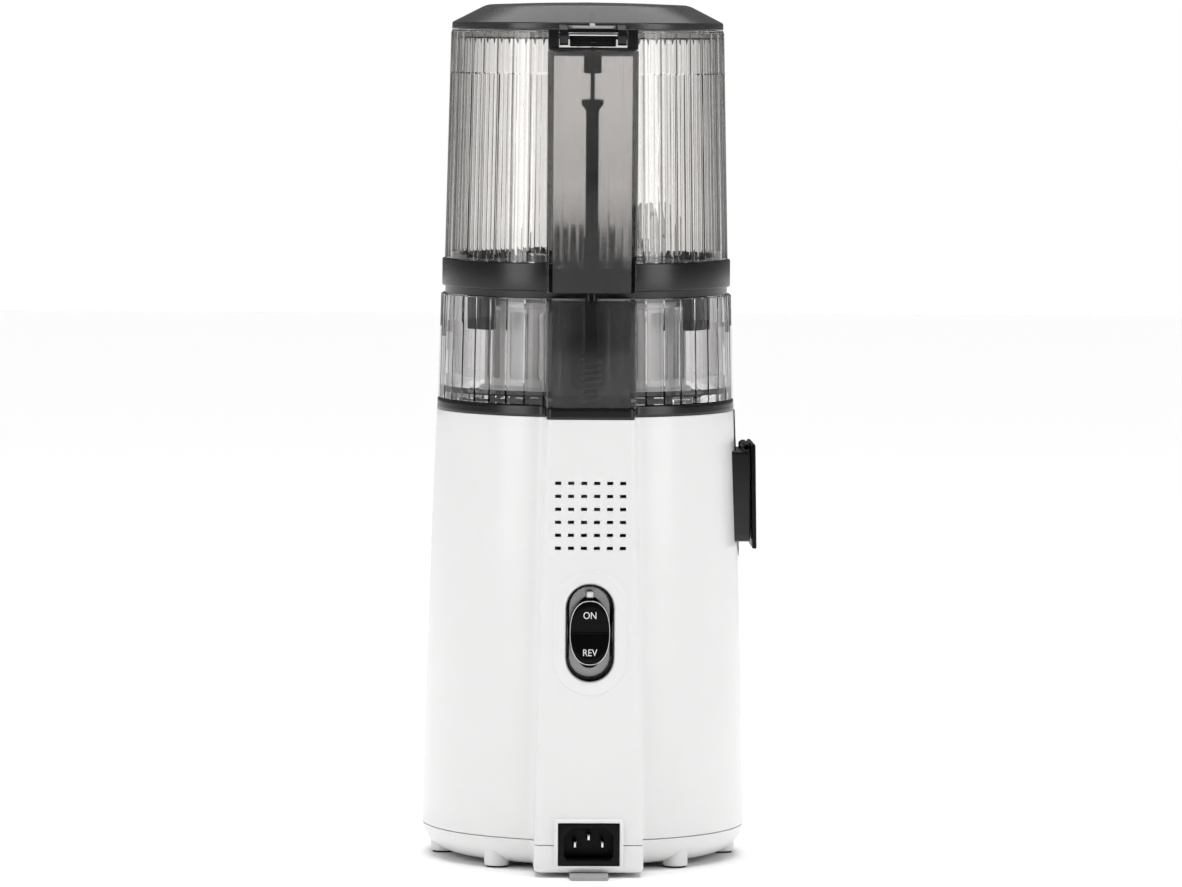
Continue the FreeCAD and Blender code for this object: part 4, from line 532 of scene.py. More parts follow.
def finish_piece(obj, body, slot, nodes=(), material=None):
    """Give a piece its material, picked by slot name unless one is passed, and let it ride on a body."""
    obj.data.materials.clear()
    obj.data.materials.append(material or MATERIALS[slot])
    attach(obj, body)
    if nodes:
        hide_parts(*nodes)
    return obj


def dress_cad_nodes():
    """Materials and smooth shading for the CAD nodes that stay visible."""
    for node, obj in frame["nodes"].items():
        obj.data.materials.clear()
        obj.data.materials.append(MESH_STEEL if node == "filter_mesh" else MATERIALS[SLOT_OF[node]])
        for polygon in obj.data.polygons:
            polygon.use_smooth = True
        obj.data.set_sharp_from_angle(angle=math.radians(28))


# ---------------------------------------------------------------- housing

def form_radius(z):
    """Radius of the housing at a height: a long arc, with the bottom turned in."""
    if z < LOW_Z:
        drop = (LOW_Z - z) / (LOW_Z - FLOOR_Z)
        return FLOOR_R + (LOW_R - FLOOR_R) * math.sqrt(max(0.0, 1 - drop * drop))
    share = (z - LOW_Z) / (TOP_Z - LOW_Z)
    middle = (MID_Z - LOW_Z) / (TOP_Z - LOW_Z)
    straight = LOW_R + share * (TOP_R - LOW_R)
    bow = MID_R - (LOW_R + middle * (TOP_R - LOW_R))
    return straight + bow * share * (1 - share) / (middle * (1 - middle))


def spine_y(z):
    return between(z, FLOOR_Z, SHELL_TOP_Z, SPINE_LOW_Y, SPINE_TOP_Y)


def spine_half(z):
    return between(z, FLOOR_Z, SHELL_TOP_Z, SPINE_LOW_HALF, SPINE_TOP_HALF)


def arc_points(cx, cy, radius, start, end, steps):
    return [(cx + radius * math.cos(start + (end - start) * i / steps),
             cy + radius * math.sin(start + (end - start) * i / steps)) for i in range(steps + 1)]


def section(z, inset=0.0, foot=0.0):
    """Outline of the housing at a height: circle, soft inner corner, spine side, spine edge, spine face."""
    radius = form_radius(z) - inset
    half = spine_half(z) - inset - foot
    back = spine_y(z) - inset - foot
    edge = max(SPINE_EDGE - inset, 0.6)
    root = SPINE_ROOT + inset
    root_y = math.sqrt((radius + root) ** 2 - (half + root) ** 2)
    to_centre = math.atan2(root_y, half + root)
    side = arc_points(0, 0, radius, -math.pi / 2, to_centre, 96)
    side += arc_points(half + root, root_y, root, math.pi + to_centre, math.pi, 9)[1:]
    straight = max(back - edge - root_y, 0.1)
    side += [(half, root_y + straight * i / 3) for i in (1, 2, 3)]
    side += arc_points(half - edge, back - edge, edge, 0, math.pi / 2, 7)[1:]
    flat = half - edge
    side += [(flat * (1 - i / 10), back) for i in range(1, 11)]
    other = [(-x, y) for x, y in reversed(side[1:-1])]
    return [(x, y, z) for x, y in side + other]


def on_spine(obj, z):
    """Move a piece made with its face at y = 0 onto the sloping spine, centred at a height."""
    lean = math.atan2(SPINE_LOW_Y - SPINE_TOP_Y, SHELL_TOP_Z - FLOOR_Z)
    place = Matrix.Translation(Vector((0, spine_y(z), z)) * MM) @ Matrix.Rotation(lean, 4, "X")
    return moved(obj, place)


def stadium(width, height, steps=16):
    """An upright long round outline as (x, z) points."""
    r = width / 2
    s = height / 2 - r
    top = arc_points(0, s, r, 0, math.pi, steps)
    low = arc_points(0, -s, r, math.pi, TAU, steps)
    return top + low


def ring_at(outline, depth):
    return [(x, depth, z) for x, z in outline]


def grown_stadium(width, height, grow, depth):
    return ring_at(stadium(width + grow, height + grow), depth)


SWITCH_Z = 124.8
WELL_W = 23.7
WELL_H = 48.9
PAD_W = 38.1
PAD_H = 63.2
VENT_ROWS = 6
VENT_PITCH = 6.6
VENT_Z = 184.3
VENT_W = 3.1
VENT_H = 1.7
OVAL_POWER = 0.86        # under 1 flattens an oval's sides
INLET_Z = 17.1
INLET_HALF_W = 15.6
INLET_HALF_H = 10.9
LIP_Y = 104.0
RECESS_DEPTH = 16.0
BLADES = ((-7, 16.9), (7, 16.9), (0, 20.6))


def oval(width, height, steps=64):
    """An upright oval with flattened sides as (x, z) points."""
    points = []
    for i in range(steps):
        a = TAU * i / steps
        c, d = math.cos(a), math.sin(a)
        points.append((width / 2 * math.copysign(abs(c) ** OVAL_POWER, c),
                       height / 2 * math.copysign(abs(d) ** OVAL_POWER, d)))
    return points


def vent_cutters():
    cutters = []
    middle = (VENT_ROWS - 1) / 2
    for row in range(VENT_ROWS):
        for column in range(VENT_ROWS):
            x = (column - middle) * VENT_PITCH
            z = VENT_Z + (row - middle) * VENT_PITCH
            corners = rectangle(x - VENT_W / 2, x + VENT_W / 2, z - VENT_H / 2, z + VENT_H / 2)
            outline = rounded(corners, 0.35, 2)
            lip = scaled(outline, x, z, 1.22, 1.35)
            y = spine_y(z)
            rings = [ring_at(outline, y - 8), ring_at(outline, y - 0.45), ring_at(lip, y + 0.05),
                     ring_at(lip, y + 3)]
            cutters.append(lofted("vent", rings))
    return joined("vents", cutters)


def make_shell():
    low = SEAM_Z + SEAM_GAP / 2
    levels = [(low, EDGE * 0.6), (low + EDGE * 0.3, EDGE * 0.15), (low + EDGE, 0.0)]
    steps = 40
    for i in range(1, steps):
        levels.append((low + EDGE + (SHELL_TOP_Z - 2 * EDGE - low) * i / steps, 0.0))
    levels += [(SHELL_TOP_Z - EDGE, 0.0), (SHELL_TOP_Z - EDGE * 0.3, EDGE * 0.15), (SHELL_TOP_Z, EDGE * 0.6)]
    rings = [section(z, inset) for z, inset in levels]
    for i in range(steps + 1):
        z = SHELL_TOP_Z + (low - SHELL_TOP_Z) * i / steps
        rings.append(section(z, WALL))
    shell = lofted("housing_shell", rings, loop=True)
    cut(shell, vent_cutters())
    well = lofted("well", [grown_stadium(WELL_W, WELL_H, 0, depth) for depth in (-9, 6)])
    cut(shell, on_spine(well, SWITCH_Z))
    cut(shell, inlet_cutter())
    duct_low, duct_high = node_box("pulp_spout")
    cut(shell, block("duct_cut", -100, -60, duct_low.y, duct_high.y, duct_low.z, DUCT_TOP_Z, 1.5))
    finish_piece(smooth(shell, 30), "base", "white_shell", ["body_shell"])


def inlet_outline(grow, corner):
    w = INLET_HALF_W + grow
    h = INLET_HALF_H + grow
    return rounded(rectangle(-w, w, INLET_Z - h, INLET_Z + h), corner, 5)


def inlet_cutter():
    outline = inlet_outline(0.1, 0.6)
    return lofted("inlet_cut", [ring_at(outline, 60), ring_at(outline, 120)])


def make_base():
    """The base cover: a dish with a turned-in bottom that follows the same outline."""
    top = SEAM_Z - SEAM_GAP / 2
    inner_floor = FLOOR_Z + WALL
    rings = []
    for i in range(9):
        z = inner_floor + (top - inner_floor) * i / 8
        rings.append(section(z, WALL))
    rings += [section(top, EDGE * 0.6), section(top - EDGE * 0.3, EDGE * 0.15), section(top - EDGE, 0)]
    steps = 16
    for i in range(1, steps + 1):
        angle = math.pi / 2 * i / steps
        z = FLOOR_Z + (top - EDGE - FLOOR_Z) * (1 - math.sin(angle))
        above = max(0.0, 1 - (z - FLOOR_Z) / SPINE_FOOT)
        foot = SPINE_FOOT * (1 - math.sqrt(max(0.0, 1 - above * above)))
        rings.append(section(z, 0, foot))
    base = lofted("housing_base", rings)
    cut(base, inlet_cutter())
    for i in range(AIR_SLOTS):
        x = (i - (AIR_SLOTS - 1) / 2) * AIR_SLOT_PITCH
        cut(base, block("slot", x - 1.5, x + 1.5, -30, 30, 0, 8, 0.6))
    finish_piece(smooth(base, 30), "base", "white_shell", ["base_cover"])


FOOT_R = 5.5
BOSS_R = 6.5
FOOT_SPOTS = [(46, 59), (73, 0), (46, -59), (-46, -59), (-73, 0), (-46, 59)]


def make_feet():
    bosses = []
    pads = []
    for x, y in FOOT_SPOTS:
        boss = rounded([(0.0, 11.0), (0.0, 1.0), (BOSS_R, 1.0), (BOSS_R, 11.0)], [0, 0, 0.6, 0.3])
        bosses.append(turned("boss", boss, 48, x, y))
        pad = rounded([(0.0, 1.0), (0.0, 0.0), (FOOT_R, 0.0), (FOOT_R, 1.0)], [0, 0, 0.35, 0.1])
        pads.append(turned("pad", pad, 48, x, y))
    finish_piece(joined("foot_bosses", bosses), "base", "white_shell")
    finish_piece(joined("foot_pads", pads), "base", "rubber", ["rubber_feet"])


def make_stand_tab():
    low, high = node_box("rear_stand_tab")
    outline = rounded(rectangle(low.x, high.x, low.y, high.y), [0.5, 0.5, 3.0, 3.0], 6)
    tab = pressed("stand_tab", outline, low.z, high.z, "z", 0.4, 3)
    finish_piece(tab, "base", "grey_plastic", ["rear_stand_tab"])


def make_deck():
    """The black deck under the drum, with its seal bore, pulp slot and plunger hole."""
    edge = 0.7
    levels = [(SHELL_TOP_Z + 0.1, 0.35), (SHELL_TOP_Z + 0.3, 0.1), (SHELL_TOP_Z + 0.6, 0.0)]
    levels += [(SHELL_TOP_Z + 0.6 + (DECK_TOP - edge - SHELL_TOP_Z - 0.6) * i / 4, 0.0) for i in range(1, 5)]
    levels += [(DECK_TOP - edge * 0.6, edge * 0.12), (DECK_TOP - edge * 0.2, edge * 0.45), (DECK_TOP, edge)]
    deck = lofted("deck", [section(z, inset) for z, inset in levels])
    cut(deck, upright("bore", 11.0, 200, 260))
    cut(deck, upright("plunger_hole", ROD_HOLE_R, 200, 260, ROD_Y))
    cut(deck, block("pulp_slot", *PULP_SLOT, 200, 260, 1.5))
    finish_piece(smooth(deck, 30), "base", "black_satin", ["top_deck"])


def make_apron():
    """The black panel round the spouts, a thin curved sheet with soft edges."""
    low_z, high_z = PANEL_LOW_Z, PANEL_TOP_Z
    start, end = math.radians(PANEL_START), math.radians(PANEL_END)
    columns, rows = 72, 20
    corner = math.radians(7)
    outer, inner = [], []
    for i in range(rows + 1):
        z = low_z + (high_z - low_z) * i / rows
        near = max(0.0, 1 - (z - low_z) / 10.0)
        trim = corner * (1 - math.sqrt(max(0.0, 1 - near * near)))
        for j in range(columns + 1):
            a = start + trim + (end - start - 2 * trim) * j / columns
            r = form_radius(z)
            outer.append(((r + PANEL_T) * math.cos(a), (r + PANEL_T) * math.sin(a), z))
            inner.append(((r + HAIR) * math.cos(a), (r + HAIR) * math.sin(a), z))
    verts = outer + inner
    offset = len(outer)
    width = columns + 1
    faces = []
    for i in range(rows):
        for j in range(columns):
            a = i * width + j
            quad = (a, a + 1, a + width + 1, a + width)
            faces.append(quad)
            faces.append(tuple(offset + v for v in reversed(quad)))
    for j in range(columns):
        for base_row in (0, rows * width):
            a = base_row + j
            faces.append((a, a + 1, offset + a + 1, offset + a))
    for i in range(rows):
        for column in (0, columns):
            a = i * width + column
            faces.append((a, a + width, offset + a + width, offset + a))
    panel = make_object("spout_panel", verts, faces)
    bevel(panel, 0.25, 2, 50)
    finish_piece(smooth(panel, 40), "base", "black_satin", ["spout_apron"])


# ---------------------------------------------------------------- switch and inlet

def make_switch_pad():
    """A faint raised pad round the switch well."""
    outside = ((0.3, -0.3), (0.3, 0.0), (0.0, 0.2), (-0.5, 0.34), (-1.2, 0.40))
    hole = ((2.8, 0.40), (1.6, 0.40), (1.0, 0.1), (1.0, -0.3))
    rings = [grown_stadium(PAD_W, PAD_H, *step) for step in outside]
    rings += [grown_stadium(WELL_W, WELL_H, *step) for step in hole]
    pad = lofted("switch_pad", rings, loop=True)
    finish_piece(smooth(on_spine(pad, SWITCH_Z), 50), "base", "white_shell")


def make_bezel():
    """The switch well: a thin dark rim, a glossy sloped wall and a floor with a slot for the stem."""
    def swept(name, steps):
        return lofted(name, [grown_stadium(WELL_W, WELL_H, *step) for step in steps], loop=True)
    bezel = swept("switch_well",
                  ((-0.2, -10.4), (-0.2, 0.5), (-0.5, 0.5), (-1.5, -0.8), (-2.3, -2.6), (-2.6, -8.6),
                                  (-3.2, -9.0), (-12.0, -9.0), (-12.0, -10.4)))
    finish_piece(smooth(on_spine(bezel, SWITCH_Z), 40), "base", "bezel_grey", ["switch_bezel"])
    rim = swept("switch_rim", ((-0.15, -0.5), (0.6, 0.0), (0.6, 0.6), (0.3, 0.8), (0.0, 0.75), (-0.5, 0.55)))
    finish_piece(smooth(on_spine(rim, SWITCH_Z), 50), "base", "black_gloss")
    notch = block("switch_notch", -1.7, 1.7, -6.0, -0.9, 17.9, 21.0, 0.5)
    finish_piece(on_spine(notch, SWITCH_Z), "base", "pale_plastic")


ROCKER_W = 20.0
ROCKER_H = 32.2
ROCKER_FACE = 0.6
ROCKER_DIP = 1.3
ROCKER_ROUND = 1.3       # how much narrower the face is than the rocker's widest outline
PIVOT_DEPTH = -6
WORDS = (("ON", 8.7), ("REV", -10.2))
LETTER_SIZE = 5.0
LETTER_NARROW = 0.88
LETTER_T = 0.06


def rocker_front(z):
    """Depth of the rocker's face: two slopes that meet in a shallow valley."""
    return ROCKER_FACE - ROCKER_DIP * (1 - abs(z) / (ROCKER_H / 2))


def make_rocker():
    def at(grow):
        return oval(ROCKER_W + grow, ROCKER_H + grow)
    rings = [ring_at(at(grow), depth) for grow, depth in ((-0.4, -4.4), (0.0, -4.0), (0.0, -0.9))]
    for grow, drop in ((0.0, 0.9), (-0.25, 0.42), (-0.7, 0.14), (-ROCKER_ROUND, 0.0)):
        rings.append([(x, rocker_front(z) - drop, z) for x, z in at(grow)])
    for share in (0.8, 0.6, 0.4, 0.2, 0.04):
        rings.append([(x * share, rocker_front(z * share), z * share) for x, z in at(-ROCKER_ROUND)])
    cap = lofted("rocker_cap", rings)
    ridge = crosswise("ridge", 0.55, 8.6, rocker_front(0) - 0.1, 0, 0.3, 24)
    stem = block("stem", -5, 5, -12, -4.2, -3.5, 3.5, 0.4)
    pivot = crosswise("pivot", 1.5, 11.5, PIVOT_DEPTH, 0, 0.3, 32)
    notch = block("notch", -1.2, 1.2, -3.6, 0.2, 15.0, 17.2, 0.4)
    cap = joined("rocker_cap", [cap, ridge, stem, pivot, notch])
    finish_piece(smooth(on_spine(cap, SWITCH_Z), 40), "rocker", "black_gloss", ["rocker_switch"])
    rim_rings = []
    for grow, lift in ((0.55, -1.1), (0.55, -0.55), (0.35, -0.25), (-0.15, -0.20), (0.1, -1.1)):
        rim_rings.append([(x, rocker_front(z) + lift, z) for x, z in at(grow)])
    rim = lofted("rocker_rim", rim_rings, loop=True)
    finish_piece(smooth(on_spine(rim, SWITCH_Z), 60), "rocker", "pale_plastic")


def make_marks():
    """Plain control words on the rocker: on above, reverse below."""
    marks = []
    for word, z in WORDS:
        curve = bpy.data.curves.new("word", "FONT")
        curve.body = word
        curve.size = LETTER_SIZE * MM
        curve.align_x = "CENTER"
        curve.align_y = "CENTER"
        curve.extrude = LETTER_T * MM
        source = bpy.data.objects.new("word", curve)
        bpy.context.scene.collection.objects.link(source)
        mesh = bpy.data.meshes.new_from_object(source.evaluated_get(bpy.context.evaluated_depsgraph_get()))
        bpy.data.objects.remove(source)
        for vertex in mesh.vertices:
            x, up, out = vertex.co / MM
            height = z + up
            vertex.co = Vector((-x * LETTER_NARROW, rocker_front(height) + LETTER_T + out, height)) * MM
        mesh.flip_normals()
        obj = bpy.data.objects.new("word", mesh)
        bpy.context.scene.collection.objects.link(obj)
        marks.append(obj)
    finish_piece(on_spine(joined("switch_marks", marks), SWITCH_Z), "rocker", "pale_plastic")


def make_inlet():
    """The three-pin inlet: a black block with a deep recess, cut corners and three blades."""
    face = 103.2
    half_w, half_h, corner, lead = 12.45, 7.85, 4.0, 0.7
    low, high = INLET_Z - half_h, INLET_Z + half_h
    recess = rounded([(-half_w, low), (half_w, low), (half_w, high - corner), (half_w - corner, high),
                      (corner - half_w, high), (-half_w, high - corner)], [2.2, 2.2, 1, 1, 1, 1], 5)
    mouth = scaled(recess, 0, INLET_Z, 1 + lead / half_w, 1 + lead / half_h)
    body = pressed("inlet_block", inlet_outline(0, 0.6), 82.0, face, "y", 0.4, 3)
    cut(body, lofted("recess", [ring_at(recess, face - RECESS_DEPTH), ring_at(recess, face - lead),
                                ring_at(mouth, face + 0.02), ring_at(mouth, face + 5)]))
    finish_piece(smooth(body, 30), "base", "black_satin", ["power_inlet"], DEEP_BLACK)
    blades = []
    for x, z in BLADES:
        outline = rectangle(x - 1, x + 1, z - 2, z + 2)
        tip = scaled(outline, x, z, 0.5, 0.75)
        blade = lofted("blade", [ring_at(outline, 74.0), ring_at(outline, 99.3), ring_at(tip, 100.5)])
        blades.append(bevel(blade, 0.15, 2, 50))
    finish_piece(joined("inlet_blades", blades), "base", "bright_metal", ["inlet_pins"])
    lip_rings = []
    for grow, depth, corner in ((0.1, 96.0, 0.6), (0.1, 103.4, 0.6), (0.35, 103.9, 0.9), (0.8, LIP_Y, 1.3),
                                (1.4, LIP_Y, 1.8), (1.9, 103.7, 2.2), (2.1, 103.1, 2.4), (2.2, 96.0, 2.4)):
        lip_rings.append(ring_at(inlet_outline(grow, corner), depth))
    lip = lofted("inlet_frame", lip_rings, loop=True)
    finish_piece(smooth(lip, 45), "base", "white_shell")


# ---------------------------------------------------------------- clear parts

REEDS = 45
REED_STEPS = 18
FINE_STEPS = 6           # one fine inner groove every so many points
REED_GROOVE = 0.50
FINE_GROOVE = 0.14


def grooved_ring(radius, z, reed=0.0, fine=0.0, flat=False):
    """A ring with a sharp groove at each facet edge, or with fine grooves on an inner wall."""
    points = []
    half = math.pi / REEDS
    count = REEDS * REED_STEPS
    for index in range(count):
        a = TAU * index / count
        u = (index % REED_STEPS) / REED_STEPS * 2 - 1
        r = radius * math.cos(half) / math.cos(u * half) if flat else radius
        if index % REED_STEPS == 0:
            r -= reed
        if index % FINE_STEPS == 0:
            r += fine
        points.append((r * math.cos(a), r * math.sin(a), z))
    return points


def plain_ring(radius, z):
    return grooved_ring(radius, z)


def facet_ring(radius, z, reed=0.0):
    return grooved_ring(radius, z, reed, 0.0, True)


def fine_ring(radius, z):
    return grooved_ring(radius, z, 0.0, FINE_GROOVE)


def make_hopper():
    """The ribbed clear hopper: reeds outside, fine grooves inside up to a step, and a plain rim."""
    low, top = HOPPER_LOW.z, HOPPER_HIGH.z
    step_top, step_low, step_in = 408.2, 407.4, 0.3
    spans = 8

    def outer(z):
        return between(z, low, REED_TOP_Z, HOPPER_LOW_R, HOPPER_TOP_R)
    rings = [facet_ring(outer(low) - 0.4, low), facet_ring(outer(low) - 0.05, low + 0.4, 0.2)]
    for i in range(spans + 1):
        z = low + 1.0 + (REED_TOP_Z - low - 1.0) * i / spans
        rings.append(facet_ring(outer(z), z, REED_GROOVE))
    rings.append(grooved_ring(70.9, REED_TOP_Z + 0.3, 0.2))
    rings += [plain_ring(r, z) for r,
              z in ((70.6, REED_TOP_Z + 0.6), (70.6, top - 0.4), (70.3, top), (68.6, top),
                                            (68.3, top - 0.4))]
    rings.append(fine_ring(outer(step_top) - HOPPER_WALL + 0.1, step_top))
    for i in range(spans + 1):
        z = step_low + (low - step_low) * i / spans
        rings.append(fine_ring(outer(z) - HOPPER_WALL - step_in, z))
    hopper = lofted("hopper_wall", rings, loop=True)
    finish_piece(smooth(hopper, 9), "feed", "smoke_clear", ["hopper"])


def make_drum():
    """The clear drum: flat facets outside, a plain inner wall, a floor and the shaft tube."""
    low, top = DRUM_LOW.z, DRUM_HIGH.z
    floor, tube_top = low + 4.0, 250.0
    spans = 4

    def outer(z):
        return between(z, low, top, DRUM_LOW_R, DRUM_TOP_R)
    rings = [facet_ring(outer(low) - 0.5, low), facet_ring(outer(low) - 0.1, low + 0.4, 0.1)]
    for i in range(spans + 1):
        z = low + 0.9 + (top - low - 1.8) * i / spans
        rings.append(facet_ring(outer(z), z, REED_GROOVE))
    rings += [facet_ring(outer(top) - 0.1, top - 0.4, 0.1), facet_ring(outer(top) - 0.5, top)]
    inner_top = outer(top) - DRUM_WALL
    inner_low = outer(floor) - DRUM_WALL
    rings += [plain_ring(r, z) for r, z in (
        (inner_top + 0.4, top), (inner_top, top - 0.4), (inner_low, floor + 3.0),
        (inner_low - 0.9, floor + 0.9),
        (inner_low - 3.0, floor), (14.0, floor), (11.5, floor + 1.5), (11.5, tube_top - 0.4),
        (11.1, tube_top),
        (9.3, tube_top), (9.0, tube_top - 0.4), (9.0, low))]
    drum = lofted("drum_wall", rings, loop=True)
    cut(drum, block("pulp_hole", *PULP_SLOT, 230, 243.4, 1.5))
    cut(drum, rod("juice_hole", 8.0, (0, -90, SPOUT_Z), (0, -65, SPOUT_Z)))
    finish_piece(smooth(drum, 20), "chamber", "smoke_clear", ["drum"], DRUM_SMOKE)


def cover_wall(name, side, low, high, room):
    """One side wall of a rod cover, with its rounded outer corner, cut to the round walls it meets."""
    def outline(trim):
        corners = rectangle(COVER_SIDE_HALF - COVER_WALL, COVER_SIDE_HALF - trim, COVER_ROOT_Y,
                            COVER_BACK_Y - trim)
        return [(side * x, y) for x, y in rounded(corners, [0.1, 0.1, 2.2, 0.1], 6)]
    levels = [(low, 0.3), (low + 0.4, 0.0), (high - 0.5, 0.0), (high, 0.4)]
    wall = lofted(name, [[(x, y, z) for x, y in outline(trim)] for z, trim in levels])
    for rings in room:
        cut(wall, lofted("room", rings))
    return smooth(wall, 25)


def cover_back(name, low, high):
    return block(name, -COVER_HALF, COVER_HALF, COVER_FACE_Y, COVER_BACK_Y, low, high, 0.25)


def cover_plate(name, low, high, against, hole):
    """A level plate across a rod cover, cut to the round wall it meets and to the rod's hole."""
    plate = block(name, -COVER_HALF, COVER_HALF, COVER_ROOT_Y, COVER_FACE_Y - 0.1, low, high, 0.3)
    cut(plate, lofted("room", against))
    cut(plate, hole)
    return smooth(plate, 25)


def make_channel():
    """The clear cover over the interlock rod: a frosted back, dark side walls, a roof and a rod guide."""
    low, high = CHANNEL_LOW.z, CHANNEL_HIGH.z
    against = [plain_ring(HAIR + between(z, 311.5, 427.5, HOPPER_LOW_R, HOPPER_TOP_R), z) for z in (311.5,
                                                                                                    432.0)]
    collar = [plain_ring(COLLAR_R + HAIR, z) for z in (290.0, 311.7)]
    for side, name in ((-1, "channel_side_b"), (1, "channel_side_a")):
        finish_piece(cover_wall(name, side, low, high, [against, collar]), "feed", "smoke_dark")
    back = cover_back("rod_channel", low, high - 0.1)
    finish_piece(back, "feed", "smoke_clear", ["interlock_channel"], FROSTED)
    hole = upright("rod_hole", ROD_NECK_R, 400, 430, ROD_Y)
    roof = cover_plate("channel_roof", high - COVER_WALL, high - 0.1, against, hole)
    finish_piece(roof, "feed", "smoke_dark")
    guide = rounded([(ROD_NECK_R, 416.9), (ROD_NECK_R, 407.8), (4.3, 407.8), (4.3, 416.9)], 0.35)
    finish_piece(turned("rod_guide", guide, 48, 0, ROD_Y), "feed", "black_satin")


def make_drum_channel():
    """The dark cover over the lower rod, in line with the channel above."""
    low, high = DRUM_LOW.z, DRUM_HIGH.z
    against = [plain_ring(DRUM_LOW_R + HAIR, low - 2), plain_ring(DRUM_TOP_R + HAIR, high + 2)]
    for side, name in ((-1, "drum_cover_side_b"), (1, "drum_cover_side_a")):
        finish_piece(cover_wall(name, side, low, high, [against]), "chamber", "smoke_dark")
    back = cover_back("drum_rod_cover", low, high)
    finish_piece(back, "chamber", "smoke_dark", ["drum_channel"], FROSTED_DARK)
    hole = upright("rod_hole", ROD_HOLE_R, low - 5, low + 10, ROD_Y)
    floor = cover_plate("drum_cover_floor", low, low + COVER_WALL, against, hole)
    finish_piece(floor, "chamber", "smoke_dark")


def make_rods():
    """The two interlock rods, end to end: the upper one has a thin neck, the lower one a spring collar."""
    upper = [(0.0, 297.8), (3.75, 297.8), (3.75, 326.0), (3.1, 326.6), (3.1, 388.6), (3.4, 389.6),
             (5.3, 392.0),
             (5.3, 394.4), (1.05, 394.4), (1.05, 421.8), (0.0, 421.8)]
    radii = [0, 0.4, 0.4, 0.3, 0.5, 0.5, 0.4, 0.35, 0.3, 0.3, 0]
    upper_rod = turned("rod_upper", rounded(upper, radii), 48, 0, ROD_Y)
    finish_piece(upper_rod, "upper_rod", "black_satin", ["upper_interlock_rod"])
    lower = [(0.0, 243.8), (3.1, 243.8), (3.1, 264.0), (6.0, 264.0), (6.0, 266.0), (3.1, 266.0), (3.1, 297.6),
             (0.0, 297.6)]
    lower_rod = turned("rod_lower", rounded(lower, [0, 0.4, 0.3, 0.4, 0.4, 0.3, 0.4, 0]), 48, 0, ROD_Y)
    finish_piece(lower_rod, "lower_rod", "black_satin", ["lower_interlock_rod"])


def make_collar():
    """The black ring between drum and hopper, with its neck, lugs and floor ring."""
    profile = [(COLLAR_R, COLLAR_TOP_Z), (COLLAR_R, COLLAR_LOW_Z), (73.4, 297.2), (73.4, 293.5),
               (70.0, 293.5),
               (70.0, 305.0), (47.0, 305.0), (47.0, COLLAR_TOP_Z)]
    lugs = [turned("collar_ring", rounded(profile, [0.7, 0.9, 0.2, 0.2, 0.3, 0.8, 0.8, 0.8], 4), 180)]
    for angle in LUG_ANGLES:
        lug = block("lug", 63.5, 69.5, -8.5, 8.5, 276, 299, 0.8)
        bridge = block("bridge", 63.5, 71.0, -8.5, 8.5, 296.5, 299.5, 0.4)
        lugs += [spun(lug, angle), spun(bridge, angle)]
    finish_piece(joined("hopper_collar_ring", lugs), "feed", "black_satin", ["hopper_collar"])


def make_tooth_ring():
    """The low ring of teeth on the hopper floor."""
    low = 311.5
    parts = [turned("tooth_band", rounded(rectangle(64.0, 70.0, low, low + 0.8), 0.2, 2))]
    outline = rounded([(66.0, low), (69.6, low), (69.3, low + 3.6), (66.6, low + 3.6)], 0.3, 2)
    for i in range(REEDS):
        parts.append(spun(pressed("tooth", outline, -2.6, 2.6, "y", 0.25), 360.0 * (i + 0.5) / REEDS))
    finish_piece(joined("floor_teeth", parts), "feed", "black_satin", ["hopper_tooth_ring"])


# ---------------------------------------------------------------- lid and hinge

HINGE_Y = 88.0
HINGE_Z = 428.0
LID_R = 70.5
LID_TOP_Z = 444.5
LID_EDGE_Z = 430.4


